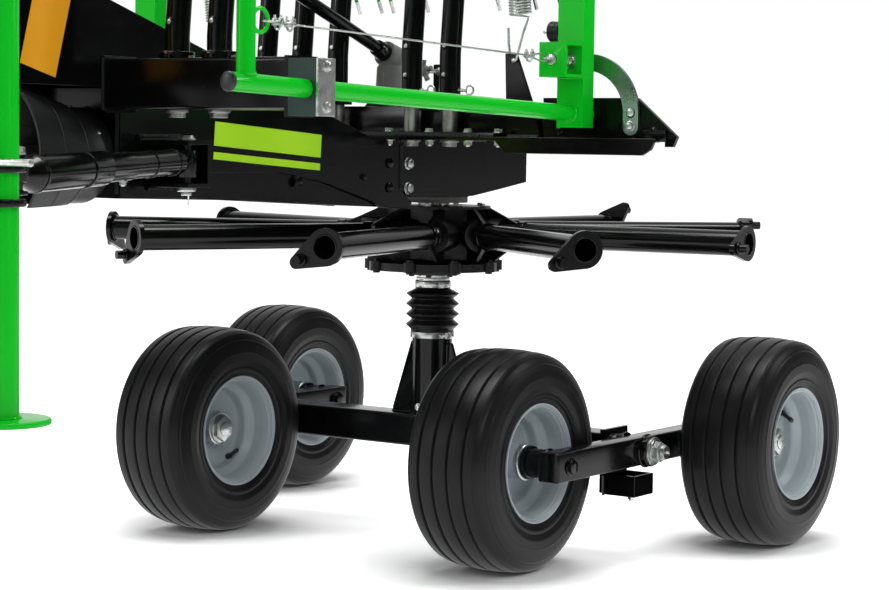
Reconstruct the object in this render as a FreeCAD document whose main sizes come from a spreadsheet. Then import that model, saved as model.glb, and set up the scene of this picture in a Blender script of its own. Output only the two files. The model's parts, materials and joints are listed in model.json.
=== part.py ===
import FreeCAD, Part
import math
import os
import re

import Sketcher
from FreeCAD import Placement, Rotation, Vector

# Single rotor hay rake, folded for storage. Millimetres. X is forward, towards the tractor, Y is the machine's
# left and Z is up; the origin is on the ground under the rotor's axis.

SIZES = {
    # running gear
    "tyre_radius": 228.6, "tyre_half": 107, "bead_radius": 106, "rim_half": 93, "rim_flange": 124,
    "rim_wall": 4, "rim_well": 84, "hub_half": 62, "hub_radius": 36, "hub_bore": 26, "running_fit": 0.05,
    "seat_gap": 0.3, "wheel_x": 306.5, "rear_wheel_x": 314, "front_wheel_y": 396, "rear_wheel_y": 673,
    "walk_y": 535, "walk_width": 50, "walk_height": 60, "walk_length": 700, "boss_half": 40,
    "boss_radius": 33, "pivot_radius": 20, "spacer_radius": 30, "tube_corner": 7,
    # cross beam and column
    "beam_width": 80, "beam_height": 72, "beam_low": 190, "beam_reach": 485, "end_plate": 10,
    "column_radius": 45, "column_wall": 9, "column_top": 455, "gusset": 10, "gusset_reach": 105,
    "gusset_top": 426, "piston_low": 330, "bellows_pitch": 23.2, "bellows_cuff": 18, "bellows_valley": 46,
    "bellows_peak": 61, "bellows_skin": 3, "stop_low": 130, "stop_top": 175, "stop_wall": 6,
    "stop_reach": 100, "stop_front": 50, "stop_back": 30,
    # rotor
    "arm_z": 672, "arm_radius": 27, "arm_bore": 22.5, "arm_reach": 741, "arm_offset": 57, "sleeve_end": 190,
    "sleeve_radius": 24, "boss_end": 150, "boss_wide": 36, "collar_radius": 30, "collar_wide": 13,
    "flange_thick": 10, "flange_radius": 37.5, "flange_drop": 69, "flange_tip": 13, "latch_drop": 58,
    "latch_radius": 9, "latch_length": 38, "rotor_low": 590, "rotor_top": 735, "drum_radius": 110,
    "lug_radius": 158, "cover_radius": 128, "cover_thick": 6, "web": 8, "arms_turn": 14.3,
    # main beam
    "side_y": 105, "plate": 8, "flange_top": 882, "joint_x": 272, "slope_x": 365, "slope": 0.306,
    "apex_x": 240, "apex_z": 734, "keel_x": 770, "keel_z": 760, "front_x": 1135, "front_low": 769,
    "neck_low": 970, "neck_x": 1550, "housing_x": 220, "housing_low": 758, "doubler_x": 920,
    "gearbox_low": 742, "gearbox_radius": 88, "crank_x": 178, "crank_out": 17, "crank_z": 1069.5,
    "crank_tilt": 20, "crank_radius": 13.5, "crank_length": 869, "crank_throw": 150,
    # rear bar, front bars and what stands on them
    "bar_x": 255, "bar_width": 150, "bar_half": 755, "bar_cut": 75, "bar_lip": 25, "front_bar_x": 1140,
    "front_bar_width": 80, "front_bar_low": 930, "front_bar_top": 1020, "front_bar_half": 520,
    "peg_radius": 15.5, "peg_top": 955, "peg_tail": 14, "tine_radius": 22.25, "tine_top": 1800,
    "tine_bend_z": 1060, "tine_bend": 5,
    "rear_peg_x": 295, "tine_pitch": 98, "tine_wire": 9, "tine_coil": 15, "tine_apart": 32, "tine_reach": 290,
    "tine_lift": 10, "tine_hook": 45, "tine_drop": 70, "tine_first": 205, "tine_step": 160,
    # guards
    "guard_y": 565, "guard_radius": 16, "rung_radius": 15.8, "post_x": 300, "post_width": 60,
    "post_depth": 40, "post_top": 2100, "hinge_rear_z": 937, "hinge_front_z": 966, "hinge_front_x": 1180,
    "rail_end": 1378, "upright_x": 1334, "sector_radius": 104, "sector_width": 34, "latch_z": 1042,
    "hinge_plate_x": 262, "spring_y": 406, "spring_low": 1137, "spring_top": 1375, "spring_radius": 24,
    "bracket_y": 389, "bracket_top": 1060,
    "block_x": 1133, "block_width": 47, "block_half": 29.5,
    # front end
    "pto_z": 846, "pto_shaft": 17.5, "cone_small": 88, "cone_large": 151, "cone_x": 1180, "cone_length": 200,
    "cone_low": 757, "yaw_x": 1600, "yaw_pin": 20, "ear": 20, "ear_round": 36, "mast_x": 1715, "cross_z": 775,
    "cross_tube": 50, "leg_y": 406, "leg_radius": 30.15, "leg_length": 950, "leg_raise": 440,
    "foot_radius": 77.5, "ring_z": 805.5, "ring_height": 64,
    "link_y": 341.5, "link_pin": 11, "top_link_z": 1280, "top_pin": 9.5, "strut_z": 833, "strut_x": 1040,
    "strut_y": 180, "strut_radius": 30, "strut_ear": 35, "strut_sleeve": 322, "sleeve_outer": 40,
    "strut_eye_x": 1612, "strut_eye_y": 330, "strut_pin": 10,
}
ARMS = 9
ROLLS = (-63, -64, -82, -112, -132, -110, -75, -55, -50)
BEAM_PEG = 2
CONVOLUTIONS = 4
PAIRS = 4
WORD = re.compile(r"[a-z][a-z_0-9]*")

doc = FreeCAD.newDocument("hay_rake")
sheet = doc.addObject("Spreadsheet::Sheet", "Sizes")
for row, (name, size) in enumerate(SIZES.items(), 1):
    sheet.set(f"A{row}", name)
    sheet.set(f"B{row}", str(size))
    sheet.setAlias(f"B{row}", name)
doc.recompute()

NODES = []


# ---- drawing helpers ----

def formula(text):
    """A formula over the sheet's names, as FreeCAD writes it."""
    return WORD.sub(lambda word: "Sizes." + word.group() if word.group() in SIZES else word.group(), str(text))


def place(thing, x=0, y=0, z=0, turn=None):
    """Puts an object at formulas x, y and z, turned by a Rotation."""
    thing.Placement = Placement(Vector(), turn or Rotation())
    for axis, text in zip("xyz", (x, y, z)):
        if text != 0:
            thing.setExpression("Placement.Base." + axis, formula(text))
    return thing


def keep(thing, label):
    """Names a sub-part that has a file of its own."""
    thing.Label = label
    NODES.append(thing)
    return thing


def new_body(name, x=0, y=0, z=0, turn=None):
    return place(doc.addObject("PartDesign::Body", name), x, y, z, turn)


def origin_part(body, role):
    return next(part for part in body.Origin.OriginFeatures if part.Role == role)


def new_sketch(body, plane, name, shift=0):
    """A sketch on an origin plane of its body, moved along the plane's normal by a formula."""
    sketch = body.newObject("Sketcher::SketchObject", name)
    sketch.AttachmentSupport = [(origin_part(body, plane + "_Plane"), "")]
    sketch.MapMode = "FlatFace"
    if shift != 0:
        sketch.setExpression("AttachmentOffset.Base.z", formula(shift))
    return sketch


def pin(sketch, kind, *places, text):
    """A constraint whose value is a formula."""
    number = sketch.addConstraint(Sketcher.Constraint(kind, *places))
    sketch.setExpression(f"Constraints[{number}]", formula(text))


def outline(sketch, points):
    """A closed outline through points given as pairs of formulas."""
    count = len(points)
    first = sketch.GeometryCount
    ring = [Vector(100 * math.cos(math.tau * k / count), 100 * math.sin(math.tau * k / count), 0)
            for k in range(count)]
    for k in range(count):
        sketch.addGeometry(Part.LineSegment(ring[k], ring[(k + 1) % count]), False)
    sketch.addConstraint([Sketcher.Constraint("Coincident", first + k, 2, first + (k + 1) % count, 1)
                          for k in range(count)])
    for k, (across, up) in enumerate(points):
        pin(sketch, "DistanceX", -1, 1, first + k, 1, ring[k].x, text=across)
        pin(sketch, "DistanceY", -1, 1, first + k, 1, ring[k].y, text=up)
    return sketch


def rectangle(sketch, x0, y0, x1, y1):
    return outline(sketch, [(x0, y0), (x1, y0), (x1, y1), (x0, y1)])


def circle(sketch, x, y, radius):
    number = sketch.addGeometry(Part.Circle(Vector(1, 1, 0), Vector(0, 0, 1), 5), False)
    pin(sketch, "Radius", number, 5, text=radius)
    pin(sketch, "DistanceX", -1, 1, number, 3, 1, text=x)
    pin(sketch, "DistanceY", -1, 1, number, 3, 1, text=y)
    return sketch


def pad(sketch, length, middle=False, back=False, feature="Pad"):
    """Pads, or with feature Pocket cuts, a sketch of a body by a formula."""
    body = sketch.getParentGeoFeatureGroup()
    made = body.newObject("PartDesign::" + feature, sketch.Name + feature)
    made.Profile = sketch
    made.setExpression("Length", formula(length))
    made.Midplane = middle
    made.Reversed = back
    return made


def pocket(sketch, length, middle=False, back=False):
    return pad(sketch, length, middle, back, "Pocket")


def revolve(sketch, axis):
    """Turns a sketch about its own H or V axis."""
    body = sketch.getParentGeoFeatureGroup()
    made = body.newObject("PartDesign::Revolution", sketch.Name + "Turn")
    made.Profile = sketch
    made.ReferenceAxis = (sketch, [axis + "_Axis"])
    made.Angle = 360
    return made


def round_edges(feature, radius, chosen):
    """Fillets the edges of a feature that the test picks."""
    doc.recompute()
    names = [f"Edge{k}" for k, edge in enumerate(feature.Shape.Edges, 1) if chosen(edge)]
    body = feature.getParentGeoFeatureGroup()
    made = body.newObject("PartDesign::Fillet", feature.Name + "Round")
    made.Base = (feature, names)
    made.setExpression("Radius", formula(radius))
    return made


def along(axis, edge):
    """Whether a straight edge runs along an axis."""
    if not isinstance(edge.Curve, Part.Line):
        return False
    return abs(getattr(edge.Curve.Direction, axis)) > 0.999


def polar(body, features, count):
    """Repeats features about the body's Z axis."""
    made = body.newObject("PartDesign::PolarPattern", features[0].Name + "Ring")
    made.Originals = features
    made.Axis = (origin_part(body, "Z_Axis"), [""])
    made.Angle = 360
    made.Occurrences = count
    body.Tip = made
    return made


def mirror(thing, name):
    """The same piece on the machine's right."""
    made = doc.addObject("Part::Mirroring", name)
    made.Source = thing
    made.Normal = Vector(0, 1, 0)
    made.Base = Vector()
    return made


def group(things, label):
    made = doc.addObject("Part::Compound", label)
    made.Links = things
    return keep(made, label)


def fuse(things, name):
    made = doc.addObject("Part::MultiFuse", name)
    made.Shapes = things
    return made


def cut(base, tool, name):
    made = doc.addObject("Part::Cut", name)
    made.Base = base
    made.Tool = tool
    return made


def both_sides(thing, label):
    """One node that holds a left piece and its mirror image."""
    return group([thing, mirror(thing, label + "_mirror")], label)


def left_and_right(thing, stem):
    """Two nodes: the left piece and its mirror image."""
    keep(thing, stem + "_left")
    return keep(mirror(thing, stem + "_right_mirror"), stem + "_right")


def cylinder(name, radius, length, x=0, y=0, z=0, turn=None):
    made = place(doc.addObject("Part::Cylinder", name), x, y, z, turn)
    made.setExpression("Radius", formula(radius))
    made.setExpression("Height", formula(length))
    return made


def block(name, x0, x1, y0, y1, z0, z1):
    """A box between formulas."""
    made = place(doc.addObject("Part::Box", name), x0, y0, z0)
    made.setExpression("Length", formula(f"({x1}) - ({x0})"))
    made.setExpression("Width", formula(f"({y1}) - ({y0})"))
    made.setExpression("Height", formula(f"({z1}) - ({z0})"))
    return made


def plate_of(name, plane, points, thickness, x=0, y=0, z=0, hole=None):
    """A flat plate cut to an outline, its middle on the plane, with a round hole given by place and radius."""
    body = new_body(name, x, y, z)
    face = outline(new_sketch(body, plane, name + "_outline"), points)
    if hole:
        circle(face, *hole)
    pad(face, thickness, middle=True)
    return body


ALONG_X = Rotation(Vector(0, 1, 0), 90)
ALONG_Y = Rotation(Vector(1, 0, 0), -90)


# ---- running gear ----

def cross_beam():
    """Rectangular tube across the machine, closed by the plates that carry the pivots."""
    body = new_body("cross_beam")
    run = rectangle(new_sketch(body, "YZ", "beam_run"), "-beam_reach + end_plate", "beam_low",
                    "beam_reach - end_plate", "beam_low + beam_height")
    tube = pad(run, "beam_width", middle=True)
    round_edges(tube, "tube_corner", lambda edge: along("y", edge))
    ends = new_sketch(body, "YZ", "beam_ends")
    for side in ("", "-"):
        rectangle(ends, f"{side}beam_reach", "stop_low + stop_wall", f"{side}(beam_reach - end_plate)",
                  "beam_low + beam_height + end_plate")
    pad(ends, "beam_width + 2 * end_plate", middle=True)
    keep(body, "cross_beam")


def column_tube():
    """Upright tube on the cross beam with a gusset plate through it."""
    body = new_body("column_tube", z="beam_low + beam_height")
    pad(circle(new_sketch(body, "XY", "column_round"), 0, 0, "column_radius"),
        "column_top - beam_low - beam_height")
    wing = outline(new_sketch(body, "YZ", "column_gusset"), [
        ("-gusset_reach", 0), ("gusset_reach", 0), ("gusset_reach", "gusset"),
        ("column_radius + gusset", "gusset_top - beam_low - beam_height"),
        ("-column_radius - gusset", "gusset_top - beam_low - beam_height"), ("-gusset_reach", "gusset")])
    pad(wing, "gusset", middle=True)
    pocket(circle(new_sketch(body, "XY", "column_bore"), 0, 0, "column_radius - column_wall"),
           "column_top - beam_low - beam_height", back=True)
    keep(body, "column_tube")


def bellows():
    """Rubber bellows over the column's sliding joint."""
    body = new_body("bellows", z="column_top + seat_gap")
    half = "bellows_pitch / 2"
    grip = "column_radius + seat_gap"
    neck = "column_radius - column_wall + seat_gap"
    top = f"{half} * {2 * CONVOLUTIONS}"
    waves = []
    for k in range(CONVOLUTIONS):
        waves.append(("bellows_peak", f"{half} * {2 * k + 1}"))
        waves.append(("bellows_valley", f"{half} * {2 * k + 2}"))
    outer = [(f"{grip} + bellows_skin", "-bellows_cuff"), (f"{grip} + bellows_skin", 0), *waves[:-1],
             (f"{neck} + bellows_skin", top), (f"{neck} + bellows_skin", f"{top} + bellows_cuff")]
    inner = [(neck, f"{top} + bellows_cuff"), (neck, f"{top} - bellows_skin")]
    inner += [(f"{across} - bellows_skin", up) for across, up in reversed(waves[:-1])]
    inner += [("bellows_valley - bellows_skin", "bellows_skin"), (grip, "bellows_skin"), (grip, "-bellows_cuff")]
    revolve(outline(new_sketch(body, "YZ", "bellows_wave"), outer + inner), "V")
    keep(body, "bellows")


def pivot_shafts():
    """Shafts of the walking beams, with their washers and castle nuts."""
    body = new_body("pivot_shaft", z="tyre_radius")
    seat = "walk_y - boss_half - seat_gap"
    nut = "walk_y + boss_half + seat_gap"
    revolve(outline(new_sketch(body, "YZ", "shaft_half"), [
        ("beam_reach", 0), ("beam_reach", "spacer_radius"), (seat, "spacer_radius"), (seat, "pivot_radius"),
        (nut, "pivot_radius"), (nut, "spacer_radius"), (f"{nut} + 6", "spacer_radius"),
        (f"{nut} + 6", "pivot_radius - 5"), (f"{nut} + 34", "pivot_radius - 5"), (f"{nut} + 34", 0)]), "H")
    both_sides(body, "pivot_shafts")


def stop_brackets():
    """Open-topped stop pockets under the walking beams, on the end plates' lower halves."""
    outer = "beam_reach + stop_reach"
    tray = block("stop_tray", "-stop_back", "stop_front", "beam_reach", outer, "stop_low", "stop_top")
    inside = block("stop_inside", "-stop_back + stop_wall", "stop_front - stop_wall",
                   "beam_reach + 2 * stop_wall", f"{outer} - stop_wall", "stop_low + stop_wall", "stop_top + 1")
    both_sides(cut(tray, inside, "stop_hollow"), "stop_brackets")


def walking_beam():
    """Rocking beam between a front and a rear wheel."""
    body = new_body("walking_beam", y="walk_y", z="tyre_radius")
    run = rectangle(new_sketch(body, "YZ", "walk_section"), "-walk_width / 2", "-walk_height / 2",
                    "walk_width / 2", "walk_height / 2")
    tube = pad(run, "walk_length", middle=True)
    round_edges(tube, "tube_corner", lambda edge: along("x", edge))
    pad(circle(new_sketch(body, "XZ", "walk_boss"), 0, 0, "boss_radius"), "2 * boss_half", middle=True)
    pocket(circle(new_sketch(body, "XZ", "walk_bore"), 0, 0, "pivot_radius + running_fit"),
           "2 * boss_half", middle=True)
    left_and_right(body, "walking_beam")


def stub_axle(name, x, hub_y, outward):
    """Axle from a walking beam's flank to its wheel's far side."""
    body = new_body(name, x=x, y=hub_y, z="tyre_radius")
    face = f"(walk_y + {outward} * walk_width / 2 - {hub_y})"
    near = f"(-{outward}) * (hub_half + seat_gap)"
    far = f"{outward} * (hub_half + seat_gap)"
    revolve(outline(new_sketch(body, "YZ", name + "_half"), [
        (face, 0), (face, "spacer_radius"), (near, "spacer_radius"), (near, "hub_bore - running_fit"),
        (far, "hub_bore - running_fit"), (far, "hub_radius - 2"), (f"{far} + {outward} * 5", "hub_radius - 2"),
        (f"{far} + {outward} * 5", "hub_bore - 8"), (f"{far} + {outward} * 23", "hub_bore - 8"),
        (f"{far} + {outward} * 23", 0)]), "H")
    return body


def axles():
    front = stub_axle("front_axle", "wheel_x", "front_wheel_y", -1)
    rear = stub_axle("rear_axle", "-rear_wheel_x", "rear_wheel_y", 1)
    group([front, rear], "axles_left")
    group([mirror(front, "front_axle_mirror"), mirror(rear, "rear_axle_mirror")], "axles_right")


def wheel(corner, x, y):
    """Tyre and disc rim with its welded hub."""
    tyre = new_body("tyre_" + corner, x=x, y=y, z="tyre_radius")
    half = [("rim_half - 5.3", "bead_radius + seat_gap"), ("rim_half - 5.3", "rim_flange + 2"),
            ("tyre_half", "rim_flange + 26"), ("tyre_half", "tyre_radius - 32"),
            ("tyre_half - 20", "tyre_radius - 5"), ("tyre_half - 55", "tyre_radius")]
    other = [(f"-({across})", up) for across, up in reversed(half)]
    round_tyre = revolve(outline(new_sketch(tyre, "YZ", "tyre_section_" + corner), half + other), "H")
    shoulder = SIZES["tyre_radius"] - 32
    flank = SIZES["rim_flange"] + 26
    round_edges(round_tyre, 20, lambda edge: isinstance(edge.Curve, Part.Circle)
                and (abs(edge.Curve.Radius - shoulder) < 1 or abs(edge.Curve.Radius - flank) < 1))
    keep(tyre, "tyre_" + corner)
    rim = new_body("rim_" + corner, x=x, y=y, z="tyre_radius")
    outer = [("-rim_half", "rim_flange"), ("-rim_half + 5", "rim_flange"), ("-rim_half + 5", "bead_radius"),
             ("-rim_half + 31", "bead_radius - 4"), ("-rim_half + 51", "bead_radius - 4"),
             ("-rim_half + 59", "rim_well + rim_wall")]
    inner = [("rim_half", "rim_flange - 21"), ("rim_half - 29", "bead_radius - 8"),
             ("rim_half - 48", "bead_radius - 8"), ("rim_half - 55", "rim_well"), ("3", "rim_well"),
             ("3", "hub_radius"), ("hub_half", "hub_radius"), ("hub_half", "hub_bore")]
    section = outer + [(f"-({across})", up) for across, up in reversed(outer)]
    section += inner + [(f"-({across})", up) for across, up in reversed(inner)]
    revolve(outline(new_sketch(rim, "YZ", "rim_section_" + corner), section), "H")
    keep(rim, "rim_" + corner)


def wheels():
    wheel("front_left", "wheel_x", "front_wheel_y")
    wheel("front_right", "wheel_x", "-front_wheel_y")
    wheel("rear_left", "-rear_wheel_x", "rear_wheel_y")
    wheel("rear_right", "-rear_wheel_x", "-rear_wheel_y")


# ---- rotor ----

def column_piston():
    """Inner column that carries the rotor and slides in the column tube."""
    body = new_body("column_piston")
    slide = "column_radius - column_wall - running_fit"
    revolve(outline(new_sketch(body, "YZ", "piston_half"), [
        (0, "piston_low"), (slide, "piston_low"), (slide, "rotor_low - 10"), (62, "rotor_low - 10"),
        (62, "rotor_low - seat_gap"), (slide, "rotor_low - seat_gap"), (slide, "gearbox_low"),
        (0, "gearbox_low")]), "V")
    keep(body, "column_piston")


def rotor_hub():
    """Nine-sided cast hub under a round cover, with a boss, a sleeve and two webs for each arm."""
    body = new_body("rotor_hub", z="arm_z", turn=Rotation(Vector(0, 0, 1), SIZES["arms_turn"]))
    bore = "column_radius - column_wall"
    low = "rotor_low - arm_z"
    top = "rotor_top - arm_z"
    revolve(outline(new_sketch(body, "XZ", "hub_half"), [
        (bore, low), ("lug_radius - 14", low), ("lug_radius - 14", f"{low} + 18"),
        ("drum_radius - 5", f"{low} + 30"), ("drum_radius - 5", f"{top} - cover_thick"),
        ("cover_radius", f"{top} - cover_thick"), ("cover_radius", top), (bore, top)]), "V")
    half = math.pi / ARMS
    facets = [(f"drum_radius * {math.cos((2 * k + 1) * half) / math.cos(half):.6f}",
               f"drum_radius * {math.sin((2 * k + 1) * half) / math.cos(half):.6f}") for k in range(ARMS)]
    drum = outline(new_sketch(body, "XY", "drum_facets", f"{low} + 24"), facets)
    circle(drum, 0, 0, "drum_radius - 20")
    pad(drum, f"{top} - cover_thick - ({low} + 24)")
    boss = pad(circle(new_sketch(body, "YZ", "boss_round", "drum_radius / 2"), "arm_offset", 0, "boss_wide"),
               "boss_end - drum_radius / 2")
    sleeve = pad(circle(new_sketch(body, "YZ", "sleeve_round", "boss_end"), "arm_offset", 0, "sleeve_radius"),
                 "sleeve_end - boss_end")
    webs = new_sketch(body, "XZ", "arm_webs", "-arm_offset")
    outline(webs, [("drum_radius / 2", "sleeve_radius - 5"), ("sleeve_end - 4", "sleeve_radius - 5"),
                   ("sleeve_end - 4", "sleeve_radius + 1"), ("cover_radius - 18", f"{top} - 3"),
                   ("drum_radius / 2", f"{top} - 3")])
    outline(webs, [("drum_radius / 2", "5 - sleeve_radius"), ("sleeve_end - 12", "5 - sleeve_radius"),
                   ("sleeve_end - 12", "-sleeve_radius - 1"), ("drum_radius + 10", f"{low} + 16"),
                   ("drum_radius / 2", f"{low} + 16")])
    web = pad(webs, "web", middle=True)
    lug = pad(circle(new_sketch(body, "XY", "bolt_lug", low), "lug_radius - 14", 0, 14), 22)
    polar(body, [boss, sleeve, web, lug], ARMS)
    keep(body, "rotor_hub")


def rotor_arm(name, turn, roll):
    """Tubular arm with its collar and the teardrop flange that takes a tine arm."""
    ahead = Vector(0, 0, 1)
    shift = Rotation(ahead, turn).multVec(Vector(0, SIZES["arm_offset"], 0))
    body = new_body(name, x=f"arm_offset * {shift.x / SIZES['arm_offset']:.6f}",
                    y=f"arm_offset * {shift.y / SIZES['arm_offset']:.6f}", z="arm_z",
                    turn=Rotation(ahead, turn).multiply(Rotation(Vector(1, 0, 0), roll)))
    pad(circle(new_sketch(body, "YZ", name + "_tube", "sleeve_end"), 0, 0, "arm_radius"),
        "arm_reach - sleeve_end")
    pad(circle(new_sketch(body, "YZ", name + "_collar", "sleeve_end"), 0, 0, "collar_radius"), "collar_wide")
    flange = new_sketch(body, "YZ", name + "_flange", "arm_reach - flange_thick")
    drop, large, small = SIZES["flange_drop"], SIZES["flange_radius"], SIZES["flange_tip"]
    lean = math.asin((large - small) / drop)
    cosine, sine = math.cos(lean), math.sin(lean)
    centres = ((Vector(0, 0, 0), large), (Vector(0, -drop, 0), small))
    corners = [centre + Vector(side * radius * cosine, -radius * sine, 0)
               for side in (1, -1) for centre, radius in centres]
    flange.addGeometry(Part.LineSegment(corners[0], corners[1]), False)
    flange.addGeometry(Part.Arc(corners[1], Vector(0, -drop - small, 0), corners[3]), False)
    flange.addGeometry(Part.LineSegment(corners[3], corners[2]), False)
    flange.addGeometry(Part.Arc(corners[2], Vector(0, large, 0), corners[0]), False)
    pad(flange, "flange_thick")
    pocket(circle(new_sketch(body, "YZ", name + "_bore", "arm_reach"), 0, 0, "arm_bore"), 160)
    pad(circle(new_sketch(body, "YZ", name + "_latch", "arm_reach"), 0, "-latch_drop", "latch_radius"),
        "latch_length")
    return body


def rotor_arms():
    """Nine arms, each turned about itself as the cam inside the hub holds it."""
    step = 360 / ARMS
    group([rotor_arm(f"rotor_arm_{k}", SIZES["arms_turn"] + step * k, roll) for k, roll in enumerate(ROLLS)],
          "rotor_arms")


# ---- main beam ----

def top_edge(x):
    """The sloping top of the beam above a place x, as a formula."""
    return f"(flange_top + slope * ({x} - slope_x))"


def beam_side_plates():
    """Side plates of the beam and its neck, cut away below along a curve."""
    body = plate_of("beam_side", "XZ", [
        ("joint_x", "flange_top"), ("joint_x", "flange_top - 107"), ("apex_x - 10", "apex_z + 14"),
        ("apex_x", "apex_z"), ("apex_x + 105", "apex_z + 6"), ("apex_x + 130", "apex_z + 17"),
        ("apex_x + 290", "apex_z + 58"), ("apex_x + 435", "apex_z + 80"), ("doubler_x", "apex_z + 80"),
        ("doubler_x", "front_low - 3"), ("front_x", "front_low"), ("front_x", "neck_low"),
        ("neck_x", "neck_low"), ("neck_x", top_edge("neck_x")), ("slope_x", "flange_top")],
        "plate", y="side_y - plate / 2")
    both_sides(body, "beam_side_plates")


def beam_box():
    """Box section between the side plates, open at the gearbox end and under the neck."""
    def section(name, rear, inset, neck, width):
        points = [(rear, f"flange_top - {inset}"), (rear, f"apex_z + 14 + {inset}"),
                  ("apex_x + 110", f"apex_z + 6 + {inset}"), ("keel_x", f"keel_z + {inset}"),
                  (f"front_x - {inset}", f"front_low + {inset}"), (f"front_x - {inset}", neck),
                  (f"neck_x - {inset}", neck),
                  (f"neck_x - {inset}", f"{top_edge('neck_x')} - {inset}"), ("slope_x", f"flange_top - {inset}")]
        return plate_of(name, "XZ", points, width)
    outside = section("box_outside", "joint_x", "0", "neck_low", "2 * (side_y - plate)")
    inside = section("box_inside", "joint_x - 1", "plate", "neck_low - 1", "2 * (side_y - 2 * plate)")
    keep(cut(outside, inside, "beam_box"), "beam_box")


def rear_housing():
    """Open-bottomed box over the gearbox."""
    def section(name, ahead, behind, low, top, width):
        points = [(ahead, top), (ahead, f"{low} + 17"), ("apex_x - 10", low), (0, low), (-110, f"{low} + 14"),
                  (behind, f"{low} + 29"), (behind, top)]
        return plate_of(name, "XZ", points, width)
    outside = section("housing_outside", "joint_x", "-housing_x", "housing_low", "flange_top", "2 * side_y")
    inside = section("housing_inside", "joint_x + 1", "plate - housing_x", "housing_low - 60",
                     "flange_top - plate", "2 * (side_y - plate)")
    keep(cut(outside, inside, "rear_housing"), "rear_housing")


def gearbox():
    """Bevel gearbox on top of the inner column, hung under the housing's roof."""
    body = new_body("gearbox")
    roof = "flange_top - plate"
    revolve(outline(new_sketch(body, "YZ", "gearbox_half"), [
        (0, "gearbox_low"), ("gearbox_radius - 12", "gearbox_low"), ("gearbox_radius - 12", "gearbox_low + 12"),
        ("gearbox_radius", "gearbox_low + 20"), ("gearbox_radius", f"{roof} - 30"),
        ("gearbox_radius - 25", f"{roof} - 12"), ("gearbox_radius - 25", roof), (0, roof)]), "V")
    pad(circle(new_sketch(body, "YZ", "gearbox_snout", "gearbox_radius - 20"), 0,
               "gearbox_low + 62", 38), 100)
    keep(body, "gearbox")


def crank_gearbox():
    """Cast elbow of the height spindle on its round base, with the spindle's tube below."""
    body = new_body("crank_gearbox", x="crank_x")
    pad(circle(new_sketch(body, "XY", "spindle_tube", "flange_top"), -30, 0, 27), 48)
    pad(circle(new_sketch(body, "XY", "crank_base", "flange_top + 44"), 0, 0, 36), 9)
    across = f"{1.1 * math.sin(math.radians(SIZES['crank_tilt'])):.6f} * crank_radius"
    up = f"{1.1 * math.cos(math.radians(SIZES['crank_tilt'])):.6f} * crank_radius"
    side = outline(new_sketch(body, "XZ", "crank_elbow"), [
        (-30, "flange_top + 50"), (30, "flange_top + 50"), (30, "flange_top + 130"), (28, "flange_top + 156"),
        (f"crank_out + {across}", f"crank_z - {up}"), (f"crank_out - {across}", f"crank_z + {up}"),
        (-14, "flange_top + 204"), (-30, "flange_top + 203"), (-38, "flange_top + 192"),
        (-36, "flange_top + 140"), (-30, "flange_top + 120")])
    pad(side, 46, middle=True)
    keep(body, "crank_gearbox")


def height_crank():
    """Crank tube that slopes up and forward to its handle."""
    body = new_body("height_crank", x="crank_x + crank_out", z="crank_z",
                    turn=Rotation(Vector(0, 1, 0), 90 - SIZES["crank_tilt"]))
    pad(circle(new_sketch(body, "XY", "crank_tube", "seat_gap"), 0, 0, "crank_radius"), "crank_length")
    throw = rectangle(new_sketch(body, "XY", "crank_throw", "crank_length"), "-crank_radius", "-crank_radius",
                      "crank_radius", "crank_throw")
    pad(throw, 10)
    pad(circle(new_sketch(body, "XY", "crank_grip", "crank_length + 10"), 0, "crank_throw - 16",
               "crank_radius"), 110)
    keep(body, "height_crank")


def rear_bar():
    """Folded channel across the housing that carries the rear tine arms and the guards' hinges."""
    body = new_body("rear_bar")
    web_top = "flange_top + plate"
    rear = "bar_x - bar_width / 2"
    front = "bar_x + bar_width / 2"
    web = new_sketch(body, "XY", "bar_web", "flange_top")
    outline(web, [(rear, "bar_cut - bar_half"), (front, "-bar_half"), (front, "bar_half"),
                  (rear, "bar_half - bar_cut")])
    pad(web, "plate")
    lips = new_sketch(body, "YZ", "bar_lips", f"{front} - plate")
    for side in ("", "-"):
        outline(lips, [(f"{side}(side_y + 275)", "flange_top"), (f"{side}(side_y + 300)", "flange_top - bar_lip"),
                       (f"{side}(bar_half - 30)", "flange_top - bar_lip"),
                       (f"{side}(bar_half - 10)", "flange_top - bar_lip + 12"),
                       (f"{side}(bar_half - 4)", "flange_top")])
    pad(lips, "plate")
    pad(rectangle(new_sketch(body, "XY", "bar_holder", web_top), "rear_peg_x - 30", "-375",
                  "rear_peg_x + 30", 375), "plate")
    keep(body, "rear_bar")


def front_bars():
    """Tubes out from the neck that carry the front tine arms and the guards' front pivots."""
    body = new_body("front_bar")
    run = rectangle(new_sketch(body, "XZ", "front_bar_section", "-side_y"),
                    "front_bar_x - front_bar_width / 2", "front_bar_low",
                    "front_bar_x + front_bar_width / 2", "front_bar_top")
    tube = pad(run, "front_bar_half - side_y", back=True)
    round_edges(tube, "tube_corner", lambda edge: along("y", edge))
    end = rectangle(new_sketch(body, "XZ", "front_bar_end", "-front_bar_half"),
                    "front_bar_x - front_bar_width / 2", "front_bar_low - 12",
                    "front_bar_x + front_bar_width / 2", "front_bar_top + 2")
    pad(end, "plate", back=True)
    both_sides(body, "front_bars")


# ---- stored tine arms ----

def tine_places():
    """Places of the nine stored tine arms: the peg's x, y and its seat's height."""
    rear = [("rear_peg_x", f"{k} * tine_pitch", "peg_top") for k in (-2.5, -1.5, -0.5, 1.5, 2.5)]
    front = [("front_bar_x", f"{k} * tine_pitch", "front_bar_top") for k in (2.5, 3.5)]
    mirrored = [(x, f"-({y})", z) for x, y, z in front]
    return {"rear": rear, "front_left": front, "front_right": mirrored}


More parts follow.
